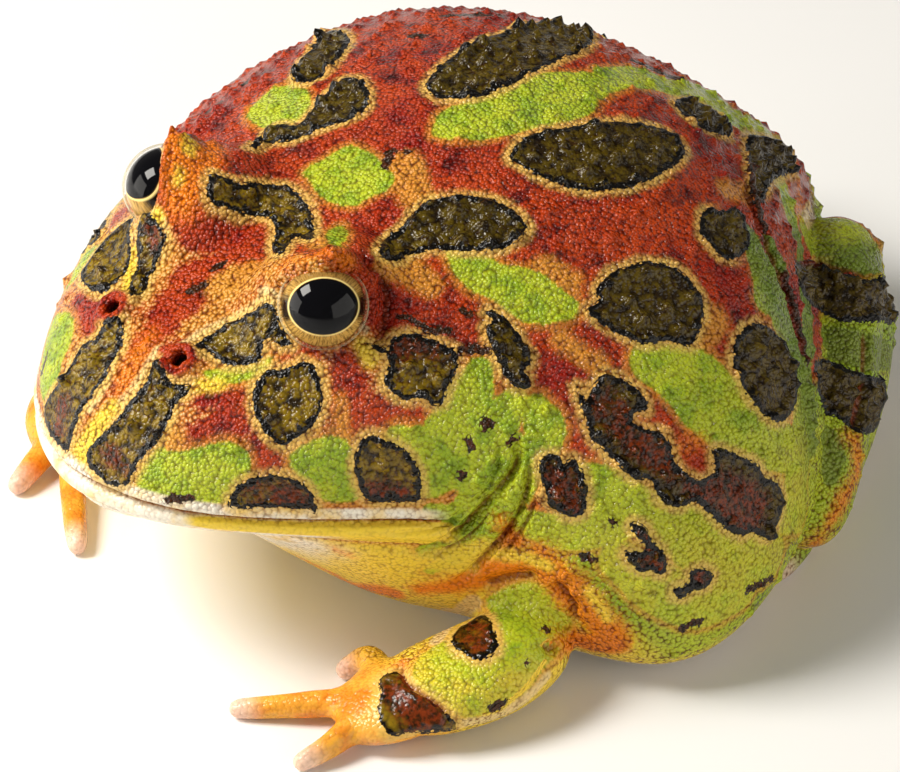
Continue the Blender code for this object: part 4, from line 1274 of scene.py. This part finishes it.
# %% Rest the skin on the floor
clay.points[:, 2] = np.maximum(clay.points[:, 2], 0.0)
clay.refresh()
tree = skin_tree()
print("resting points", int((clay.points[:, 2] <= 0.0).sum()))

# %% [markdown]
# ## Soft zones of colour
# Under the blotches the ground colour changes slowly: red on the back, green
# low on the flanks, yellow and orange at the throat and in the armpit, cream
# on the lips, the belly and the fingertips. These zones follow the body, so
# they are worked out from each point's own place.

# %% Work out the soft zones
ARMPIT, ARMPIT_REACH, TIP_REACH = (47.0, 22.0, 4.0), 15.0, 4.2
points = clay.points
x, y, z = points.T
height, along_mouth = above_mouth(points)
_, lid_ring = eye_masks(points)
below = np.maximum(-clay.normals[:, 2], 0.0)
front = step_of(-y, -2.0, 12.0)
throat = (step_of(-height, 3.0, 6.0) * step_of(18.0 - y, 0.0, 8.0) * (z > 2.0)
          * np.maximum(step_of(z, 8.0, 11.0), step_of(y, 2.0, 8.0)))
underside = (y < 14.0) * step_of(11.5 - z, 0.0, 3.0)
arms = (np.abs(x) > 14.0) * underside
hands = (np.abs(x) > 12.0) * step_of(-y, 0.0, 6.0) * (z < 8.5)
tips = np.zeros(len(points))
for finger in FINGERS + TOES + tuple(mirrored(toe) for toe in TOES):
    tips = np.maximum(tips, near(points, finger[-1][:3], TIP_REACH))
armpits = [near(points, flip * ARMPIT, ARMPIT_REACH) for flip in SIDES]
lower_band = along_mouth * step_of(-height, 0.1, 0.7) * (1.0 - step_of(-height, 3.0, 4.4))
upper_band = along_mouth * step_of(height, 0.1, 0.5) * (1.0 - step_of(height, 1.6, 2.6))
upper_band = upper_band * (1.0 - 0.85 * step_of(y, 0.0, 9.0))
zones = {
    "back": step_of(y + 0.35 * (z - 40.0), 2.0, 12.0),
    "flank": step_of(27.0 - z, -6.0, 8.0) * step_of(y, 8.0, 18.0),
    "warm": np.clip(np.maximum.reduce([throat, underside, below * (y > 14.0), *armpits]), 0.0, 1.0),
    "pale": np.clip(np.maximum.reduce([upper_band, lower_band * front, throat * front,
                                       step_of(below, 0.5, 0.9) * (y > 14.0)]), 0.0, 1.0),
    "lip_yellow": lower_band * np.maximum(1.0 - front, (1.0 - step_of(-y, 17.0, 22.0))
                                          * (1.0 - step_of(-height, 1.4, 2.4))),
    "face": 1.0 - step_of(y, 2.0, 22.0),
    "lid": lid_ring,
    "groove": along_mouth * bump_of(np.abs(height), 0.55),
    # groove: where painted shade darkens the mouth line
    "arm": np.clip(arms, 0.0, 1.0),
    "leg": step_of(np.abs(x) - 0.6 * np.maximum(60.0 - y, 0.0), 24.0, 27.0) * step_of(y, 50.0, 56.0),
    "smooth_skin": np.clip(np.maximum.reduce([hands, 0.7 * throat, throat * front, lower_band,
                                              0.6 * upper_band]), 0.0, 1.0),
    # crease: where painted shade darkens the deep folds
    "crease": crease,
    "pit": pit,
    "nostril": nostril_ring,
    "hands": np.clip(hands, 0.0, 1.0),
    "tip": np.clip(1.3 * tips, 0.0, 1.0),
}
for name, values in {**fields, **zones}.items():
    attribute = skin.data.attributes.new(name, "FLOAT", "POINT")
    attribute.data.foreach_set("value", values.astype(np.float32))
print("zones", {name: round(float(values.mean()), 3) for name, values in zones.items()})

# %% [markdown]
# ## Shader maths as plain maths
# A shader is a sum of masks and mixes, and it reads best when written that
# way. This class wraps one socket, so that 1 - mask adds a Math node and a mix
# of two colours is one call.

# %% Make the shader tools


class Socket:
    """One output of a node tree that plain maths can be done with."""

    def __init__(self, tree, output=None):
        self.tree, self.output = tree, output

    def node(self, kind, settings=None, sockets=None, output=0):
        """Any node: its settings first, then the values or links of its sockets."""
        made = self.tree.nodes.new(kind)
        for name, value in (settings or {}).items():
            setattr(made, name, value)
        for name, value in (sockets or {}).items():
            if isinstance(value, Socket):
                self.tree.links.new(value.output, made.inputs[name])
            else:
                made.inputs[name].default_value = value
        return Socket(self.tree, made.outputs[output])

    def maths(self, operation, *others):
        """A Math node with this socket as its first number."""
        return self.node("ShaderNodeMath", {"operation": operation},
                         dict(enumerate((self, *others))))

    def __add__(self, other):
        return self.maths("ADD", other)

    __radd__ = __add__

    def __sub__(self, other):
        return self.maths("SUBTRACT", other)

    def __rsub__(self, other):
        return self.node("ShaderNodeMath", {"operation": "SUBTRACT"}, {0: other, 1: self})

    def __mul__(self, other):
        return self.maths("MULTIPLY", other)

    __rmul__ = __mul__

    def step(self, low, high):
        """A soft step from 0 at low to 1 at high."""
        return self.node("ShaderNodeMapRange", {"interpolation_type": "SMOOTHSTEP"},
                         {"Value": self, "From Min": low, "From Max": high})

    def mix(self, first, second):
        """The first colour where self is 0, the second where it is 1."""
        first, second = [colour if isinstance(colour, Socket) else (*colour, 1.0)
                         for colour in (first, second)]
        return self.node("ShaderNodeMix", {"data_type": "RGBA"},
                         {0: self, 6: first, 7: second}, output=2)

    def field(self, name):
        return self.node("ShaderNodeAttribute", {"attribute_name": name}, output="Fac")

    def noise(self, where, scale, detail=2.0, roughness=0.5):
        return self.node("ShaderNodeTexNoise", {}, {"Vector": where, "Scale": scale,
                         "Detail": detail, "Roughness": roughness}, output="Fac")

    def cells(self, where, scale, output="Distance"):
        return self.node("ShaderNodeTexVoronoi", {}, {"Vector": where, "Scale": scale},
                         output=output)


def new_material(name):
    material = bpy.data.materials.new(name)
    material.use_nodes = True
    shader = material.node_tree.nodes["Principled BSDF"]
    return material, shader, Socket(material.node_tree)


def feed(shader, name, value):
    shader.id_data.links.new(value.output, shader.inputs[name])


print("shader tools ready")

# %% [markdown]
# ## The paints
# The paints are named for where they go. They are written as a screen shows
# them, because they are easy to compare that way, and turned into light.

# %% Choose the paints


def paint(red, green, blue):
    """A colour as a screen shows it, 0 to 255, turned into light."""
    return tuple((value / 255.0 / 12.92) if value <= 10 else
                 ((value / 255.0 + 0.055) / 1.055) ** 2.4 for value in (red, green, blue))


RED, DEEP_RED, ORANGE_RED = paint(144, 20, 5), paint(76, 8, 4), paint(182, 62, 12)
OCHRE, TAN = paint(214, 146, 50), paint(188, 92, 26)
GREEN, LIME, MOSS = paint(146, 172, 32), paint(180, 192, 40), paint(108, 136, 28)
YELLOW, AMBER, CREAM, WHITE = (paint(242, 208, 62), paint(236, 128, 18), paint(236, 206, 140),
                               paint(240, 232, 214))
HALO, OLIVE, UMBER, RUST, BLACK = (paint(224, 184, 92), paint(88, 72, 10), paint(36, 24, 4),
                                   paint(122, 48, 14), paint(8, 5, 3))
# The leg's green is darkened by painted shade; the low green of flank and arm is a yellow green
# lightened by painted light.
FACE_OLIVE, SHADED_LEG_GREEN, LIT_LOW_GREEN = paint(138, 112, 18), paint(96, 122, 40), paint(228, 204, 56)
PALM, KNUCKLE, FINGERTIP = paint(235, 162, 60), paint(224, 122, 34), paint(238, 206, 190)
# The crease, pit and mouth browns are painted shade for the folds, the nostril pits and the mouth
# groove.
DOT_BROWN, CREASE_SHADE_BROWN, LID_GREY = paint(74, 34, 10), paint(120, 42, 14), paint(176, 168, 128)
PIT_SHADE_BROWN, MOUTH_SHADE_BROWN = paint(40, 14, 8), paint(120, 70, 20)
print("red as light", [round(value, 3) for value in RED])

# %% [markdown]
# ## The skin's patterns
# Three noises of different size break up every edge and every colour. The
# granules are domes of a Voronoi pattern, which has a cell for each one. A
# number drawn for each cell shifts the edges granule by granule, so that no
# edge between two colours is a clean line.

# %% Weave the patterns
GRANULES, COARSE = 2000.0, 850.0

skin_look, shader, s = new_material("frog_skin")
where = s.node("ShaderNodeTexCoord", output="Object")
cloud = s.noise(where, 90.0, 3.0)
patchy = s.noise(where, 260.0, 3.0, 0.6)
fine = s.noise(where, 1500.0, 2.0)
granule = s.cells(where, GRANULES)
dome = 1.0 - granule * granule * 1.3
coarse = s.cells(where, COARSE)
swell = 1.0 - coarse * coarse * 1.3
grain = s.cells(where, GRANULES, "Color")
wander = (fine - 0.5) * 0.5 + (patchy - 0.5) * 0.9 + (granule - 0.4) * 0.35
print("granule in mm", round(1000.0 / GRANULES, 2))

# %% [markdown]
# ## The ground colours
# Colours are laid over each other like glazes, from the ground up: ochre on
# the face and red on the back, green low on the flank, yellow and orange
# below, then the green patches and the pale lips and fingertips. The tops of
# the face's granules get a painted highlight, the low flank and the arm a
# green lightened by painted light, and the leg a green darkened by painted shade.

# %% Lay the ground colours
red_skin = (cloud * 0.6 + patchy * 0.7).step(0.5, 0.85).mix(ORANGE_RED, RED)
red_skin = patchy.step(0.52, 0.75).mix(red_skin, DEEP_RED)
face_skin = (cloud * 0.5 + patchy * 0.6).step(0.4, 0.7).mix(OCHRE, TAN)
# Painted highlight: the tops of the face's granules are lightened towards cream.
painted_highlight_tops = dome.step(0.7, 0.98) * s.field("face") * 0.45
face_skin = painted_highlight_tops.mix(face_skin, CREAM)
is_red = (s.field("red") * 0.4 + 0.55 + wander).step(0.0, 0.7)
is_red = is_red.maths("MAXIMUM", (s.field("back") + wander * 0.6).step(0.3, 0.75))
ground = is_red.mix(face_skin, red_skin)
ground = ((s.field("ochre") * 0.45 + 0.4 + wander).step(0.0, 0.8) * 0.85).mix(ground, OCHRE)
ground = (s.field("flank") + cloud * 0.5 - 0.25).step(0.3, 0.7).mix(
    ground, cloud.step(0.4, 0.62).mix(LIME, GREEN))
warm_skin = (s.field("orange") * 0.3 + cloud * 1.2 - 0.2).step(0.2, 0.8).mix(YELLOW, AMBER)
ground = s.field("warm").step(0.15, 0.75).mix(ground, warm_skin)
ground = (s.field("hands") * 0.85).mix(ground, patchy.step(0.4, 0.65).mix(PALM, KNUCKLE))
green_edge = s.field("green") + wander
ground = (green_edge.step(-1.5, -0.2) * 0.65 * (1.0 - s.field("leg"))).mix(ground, OCHRE)
green_skin = patchy.step(0.4, 0.62).mix(LIME, GREEN)
green_skin = (patchy.step(0.55, 0.75) * 0.7).mix(green_skin, MOSS)
# The low flank and the arm turn a brighter yellow green: partly their own colour, partly painted
# light.
lit_low_side = (s.field("flank") * 0.55).maths("MAXIMUM", s.field("arm") * 0.85)
green_skin = (lit_low_side * patchy.step(0.3, 0.6)).mix(green_skin, LIT_LOW_GREEN)
# Painted shade: the leg's green is darker, as the thigh lies in shade.
green_skin = (s.field("leg") * 0.8).mix(green_skin, SHADED_LEG_GREEN)
ground = green_edge.step(-0.3, 0.3).mix(ground, green_skin)
ground = s.field("pale").step(0.1, 0.8).mix(ground, patchy.step(0.4, 0.7).mix(WHITE, CREAM))
ground = s.field("lip_yellow").step(0.15, 0.6).mix(ground, YELLOW)
ground = ((s.field("cream") + wander * 0.6).step(-0.4, 0.3) * 0.9).mix(ground, CREAM)
ground = ((s.field("orange") * 0.3 + 0.35 + wander).step(0.0, 1.0) * 0.9).mix(ground, AMBER)
ground = (s.field("tip") * 0.8).mix(ground, FINGERTIP)
print("nodes of the ground", len(skin_look.node_tree.nodes))

# %% [markdown]
# ## The dark blotches
# One distance gives the whole blotch: a pale halo outside its outline, an
# olive dish inside, and between them a black edge that is beaded like a seam.
# The small dots are dark too; the deep folds, the nostril pits and the mouth
# groove are darkened with painted shade.

# %% Paint the blotches
BEADS = 900.0
dark_edge = s.field("dark") + wander * 0.4 + (grain - 0.5) * 0.5
halo = dark_edge.step(-1.5, -0.35) * (0.5 + patchy * 0.6) * (1.0 - s.field("leg"))
ground = halo.mix(ground, HALO)
ground = ((s.field("yellow") * 0.7 + wander).step(-0.5, 0.5) * 0.9).mix(ground, YELLOW)
nostril_skin = patchy.step(0.35, 0.65).mix(ORANGE_RED, RED)
ground = s.field("nostril").step(0.2, 0.45).mix(ground, nostril_skin)
inside = dark_edge.step(-0.07, 0.07)
dish = (swell * 0.5 + fine * 0.4 + patchy * 0.4).step(0.4, 0.95).mix(
    UMBER, s.field("face").mix(OLIVE, FACE_OLIVE))
is_brown = (s.field("brown") * 0.5 + 0.4 + wander).step(0.0, 1.0) * patchy.step(0.2, 0.5)
dish = is_brown.mix(dish, fine.step(0.3, 0.7).mix(UMBER, RUST))
ground = inside.mix(ground, dish)
beads = (s.cells(where, BEADS) - 0.4) * 1.1
rim = inside * (1.0 - (dark_edge + beads + s.field("arm") * 0.4).step(0.7, 1.0))
ground = rim.mix(ground, BLACK)
dot = (s.field("dots") + wander * 0.7 + (grain - 0.5) * 0.7).step(-0.1, 0.1)
ground = dot.mix(ground, fine.step(0.35, 0.65).mix(UMBER, DOT_BROWN))
# Painted shade in the deep folds.
ground = ((s.field("crease") + wander * 0.4).step(-0.3, 0.3) * 0.7).mix(ground, CREASE_SHADE_BROWN)
ground = (s.field("lid").step(0.3, 0.9) * 0.8).mix(ground, LID_GREY)
# Painted shade in the nostril pits.
ground = (s.field("pit").step(0.2, 0.8) * 0.95).mix(ground, PIT_SHADE_BROWN)
# Painted shade along the mouth groove.
ground = (s.field("groove").step(0.2, 0.8) * 0.85).mix(ground, MOUTH_SHADE_BROWN)
print("nodes with the blotches", len(skin_look.node_tree.nodes))

# %% [markdown]
# ## Wet granules
# The furrows between the granules get painted shade: their colour is darker
# and warmer than the tops. The skin is wet, so it is fairly smooth between its
# bumps, and each granule shows one small glint. Belly, lips and fingers are
# nearly free of granules and of that painted shade.

# %% Wet the skin
# Painted shade: the furrow colour multiplies the base colour between the granules.
FURROW_SHADE, GRANULE_HEIGHT = (0.34, 0.20, 0.13, 1.0), 0.00042
depth = (dome * 0.75 + fine * 0.25).step(0.1, 0.75)
shade = s.node("ShaderNodeMix", {"data_type": "RGBA", "blend_type": "MULTIPLY"},
               {0: 1.0, 6: ground, 7: FURROW_SHADE}, output=2)
calm_green = green_edge.step(-0.3, 0.3) * (1.0 - inside) * 0.45
calm = (s.field("smooth_skin") * 0.75).maths("MAXIMUM", calm_green)
ground = ((1.0 - depth) * (1.0 - calm)).mix(ground, shade)
feed(shader, "Base Color", ground)
feed(shader, "Roughness", 0.12 + 0.16 * patchy)
relief = dome * (0.75 - inside * 0.4) + swell * 0.5 + fine * 0.35
bump = s.node("ShaderNodeBump", {}, {"Height": relief * (1.0 - s.field("smooth_skin") * 0.75),
                                     "Strength": 1.0, "Distance": GRANULE_HEIGHT}, output="Normal")
feed(shader, "Normal", bump)
shader.inputs["Specular IOR Level"].default_value = 0.3
shader.inputs["Subsurface Weight"].default_value = 0.02
shader.inputs["Subsurface Radius"].default_value = (0.0012, 0.0005, 0.0002)
skin.data.materials.clear()
skin.data.materials.append(skin_look)
skin.data.shade_smooth()
print("skin nodes", len(skin_look.node_tree.nodes))

# %% [markdown]
# ## Horns
# The tip of each brow horn is a part of its own. It is cut from the finished
# skin, so its foot meets the lid without a step and the pattern runs on.

# %% Part the horn tips from the skin
HORN_ROOM = 6.0


def part_horn(name, flip):
    """Keep the faces near the tip in the horn, and take them out of the skin."""
    tip = flip * HORN_TIP
    horn = bpy.data.objects.new(name, skin.data.copy())
    bpy.context.scene.collection.objects.link(horn)
    for obj, keep_tip in ((horn, True), (skin, False)):
        shape = bmesh.new()
        shape.from_mesh(obj.data)
        gone = []
        for face in shape.faces:
            middle = to_mm(face.calc_center_median())
            of_tip = middle[2] > HORN_CUT_Z and math.dist(middle[:2], tip[:2]) < HORN_ROOM
            if of_tip != keep_tip:
                gone.append(face)
        bmesh.ops.delete(shape, geom=gone, context="FACES")
        shape.to_mesh(obj.data)
        shape.free()
    return horn


horns = {side: part_horn(f"{side}_horn_tip", flip) for side, flip in zip(SIDE_NAMES, SIDES)}
print("horn points", [len(horn.data.vertices) for horn in horns.values()])

# %% [markdown]
# ## Eyes
# The eye is a ball with a wide black pupil that lies level, set in gold. A
# clear shell round it makes the pale edge that shows from the side. The ball
# has its own axes, so pupil and iris are ovals in its own coordinates.

# %% Shape the eyes
BALL_RADIUS, CORNEA_RADIUS = 5.25, 5.7
FAR_GAZE = 0.3


def eye_ball(name, flip, radius):
    """A ball whose own z looks forward; the far eye turns a little to the camera."""
    bpy.ops.mesh.primitive_uv_sphere_add(segments=96, ring_count=64, radius=radius * MM)
    ball = bpy.context.object
    ball.name = name
    forward, side, up = eye_frame(flip)
    if flip[0] < 0.0:
        forward = (1.0 - FAR_GAZE) * forward + FAR_GAZE * VIEW_BACK
        forward /= np.linalg.norm(forward)
        side = np.cross((0.0, 0.0, 1.0), forward)
        side /= np.linalg.norm(side)
        up = np.cross(forward, side)
    turn = np.eye(4)
    turn[:3, 0], turn[:3, 1], turn[:3, 2] = side, up, forward
    turn[:3, 3] = to_metres(flip * EYE_CENTRE)
    ball.matrix_world = Matrix(turn.tolist())
    ball.data.shade_smooth()
    return ball


print("eyeball in mm", 2.0 * BALL_RADIUS)

# %% [markdown]
# ## Pupil and iris
# The oval number is 1 on the edge of the pupil and grows outwards. A noise
# that is read along rays from the middle gives the gold threads of the iris,
# and dark smudges lie at both ends of the pupil. The top of the iris is
# darkened with painted shade, as if the upper lid shaded it.

# %% Paint the eyes
PUPIL_WIDE, PUPIL_HIGH = 4.2, 3.45
IRIS_GOLD, IRIS_BROWN, IRIS_PALE = paint(212, 168, 86), paint(74, 42, 14), paint(252, 230, 150)
IRIS_EDGE, SMUDGE, BALL_BACK = paint(70, 52, 26), paint(22, 10, 4), paint(120, 100, 70)
PUPIL, SHELL = (0.002, 0.002, 0.003), paint(196, 186, 148)

eye_look, shader, s = new_material("frog_eye")
where = s.node("ShaderNodeTexCoord", output="Object")
split = s.node("ShaderNodeSeparateXYZ", {}, {"Vector": where})
across, up, forward = [Socket(s.tree, output) * (1.0 / MM)
                       for output in split.output.node.outputs]
oval = (across * across * (1.0 / PUPIL_WIDE ** 2) + up * up * (1.0 / PUPIL_HIGH ** 2))
oval = oval.maths("SQRT")
ray = s.node("ShaderNodeCombineXYZ", {}, {0: across.maths("DIVIDE", oval),
                                           1: up.maths("DIVIDE", oval), 2: oval * 0.6})
threads = s.noise(ray, 7.0, 4.0, 0.7)
iris = (threads.step(0.38, 0.55) * 0.75 + 0.25).mix(IRIS_BROWN, IRIS_GOLD)
beside = across.maths("ABSOLUTE").step(3.7, 4.3)
level = 1.0 - ((up + 0.2).maths("ABSOLUTE") + threads).step(1.3, 2.9)
# Painted shade: the top of the iris is darkened as if under the upper lid.
iris = (up.step(1.2, 4.4) * 0.55).mix(iris, IRIS_BROWN)
iris = (beside * level).mix(iris, SMUDGE)
iris = (oval.step(1.0, 1.02) * (1.0 - oval.step(1.03, 1.08)) * 0.9).mix(iris, IRIS_PALE)
edge = 1.0 - forward.step(1.0, 2.1)
iris = (edge * 0.8).mix(iris, IRIS_EDGE)
colour = (1.0 - oval.step(0.985, 1.01)).mix(iris, PUPIL)
colour = (1.0 - forward.step(-1.5, 0.0)).mix(colour, BALL_BACK)
feed(shader, "Base Color", colour)
feed(shader, "Roughness", 0.03 + threads * 0.04)
shader.inputs["Specular IOR Level"].default_value = 0.2

shell_look, shader, s = new_material("clear_shell")
rim = s.node("ShaderNodeLayerWeight", {}, {"Blend": 0.5}, output="Facing")
feed(shader, "Alpha", rim.step(0.58, 0.86) * 0.8)
shader.inputs["Base Color"].default_value = (*SHELL, 1.0)
shader.inputs["Roughness"].default_value = 0.03

eyes = {}
for side, flip in zip(SIDE_NAMES, SIDES):
    ball = eye_ball(f"{side}_eyeball", flip, BALL_RADIUS)
    ball.data.materials.append(eye_look)
    shell = eye_ball(f"{side}_cornea", flip, CORNEA_RADIUS)
    shell.data.materials.append(shell_look)
    eyes[side] = (ball, shell)
print("eyes", list(eyes))

# %% [markdown]
# ## Who stands for what
# Every new piece rides on the one body of this still model, and the plain
# solids it stands for are hidden.

# %% Let the pieces ride
flesh_nodes = [name for name in frame["nodes"] if not name.endswith(("_eye", "_horn"))]
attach(skin, "root")
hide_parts(*flesh_nodes)
for side in SIDE_NAMES:
    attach(horns[side], "root")
    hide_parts(f"{side}_horn")
    ball, shell = eyes[side]
    for piece in (ball, shell):
        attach(piece, "root")
    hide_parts(f"{side}_eye")
print("stands for", len(flesh_nodes) + 4, "nodes")

# %% [markdown]
# ## Floor and light
# A pale floor and four soft lamps, as in a small studio: a strong one on the
# left, whose window shape shows in the eye, a very broad one from the front
# for the flank and the arm, and two weak ones for the chin and the back.

# %% Set the studio
FLOOR_HALF, FLOOR_PAINT = 3.0, (0.93, 0.93, 0.93, 1.0)
LAMP_COLOUR, AIR_COLOUR, AIR_LIGHT = (1.0, 0.96, 0.89), (1.0, 0.95, 0.88, 1.0), 0.16
LAMPS = (  # name, then right, up and back of the frog in mm, size in metres, watts
    ("key", -410.0, 340.0, 290.0, 0.24, 4.7),
    ("fill", 510.0, -170.0, 260.0, 0.80, 3.3),
    ("low", -520.0, 20.0, 90.0, 0.35, 1.5),
    ("rim", 60.0, 420.0, -350.0, 0.40, 0.2),
)
LAMP_AIM = (0.0, 30.0, 28.0)

floor_mesh = bpy.data.meshes.new("floor")
corners = [(x * FLOOR_HALF, y * FLOOR_HALF, 0.0) for x, y in ((-1, -1), (1, -1), (1, 1), (-1, 1))]
floor_mesh.from_pydata(corners, [], [(0, 1, 2, 3)])
floor = bpy.data.objects.new("floor", floor_mesh)
bpy.context.scene.collection.objects.link(floor)
floor_look, shader, s = new_material("pale_floor")
shader.inputs["Base Color"].default_value = FLOOR_PAINT
shader.inputs["Roughness"].default_value = 0.6
floor_mesh.materials.append(floor_look)


def lamp(name, right, up, back, size, power):
    """A square soft lamp, placed as the camera sees it, in millimetres."""
    data = bpy.data.lights.new(name, "AREA")
    data.energy, data.size, data.color = power, size, LAMP_COLOUR
    obj = bpy.data.objects.new(name, data)
    spot = np.array(LAMP_AIM) + right * VIEW_RIGHT + up * VIEW_UP + back * VIEW_BACK
    obj.location = to_metres(spot)
    look = Vector(to_metres(LAMP_AIM)) - obj.location
    obj.rotation_mode = "QUATERNION"
    obj.rotation_quaternion = look.to_track_quat("-Z", "Y")
    bpy.context.scene.collection.objects.link(obj)


for row in LAMPS:
    lamp(*row)
world = bpy.data.worlds.new("studio")
world.use_nodes = True
air = world.node_tree.nodes["Background"]
air.inputs["Color"].default_value = AIR_COLOUR
air.inputs["Strength"].default_value = AIR_LIGHT
bpy.context.scene.world = world
bpy.context.scene.view_settings.view_transform = "Standard"

# %% [markdown]
# ## The last update
# The view layer is brought up to date once more.

# %% Update the view layer
bpy.context.view_layer.update()
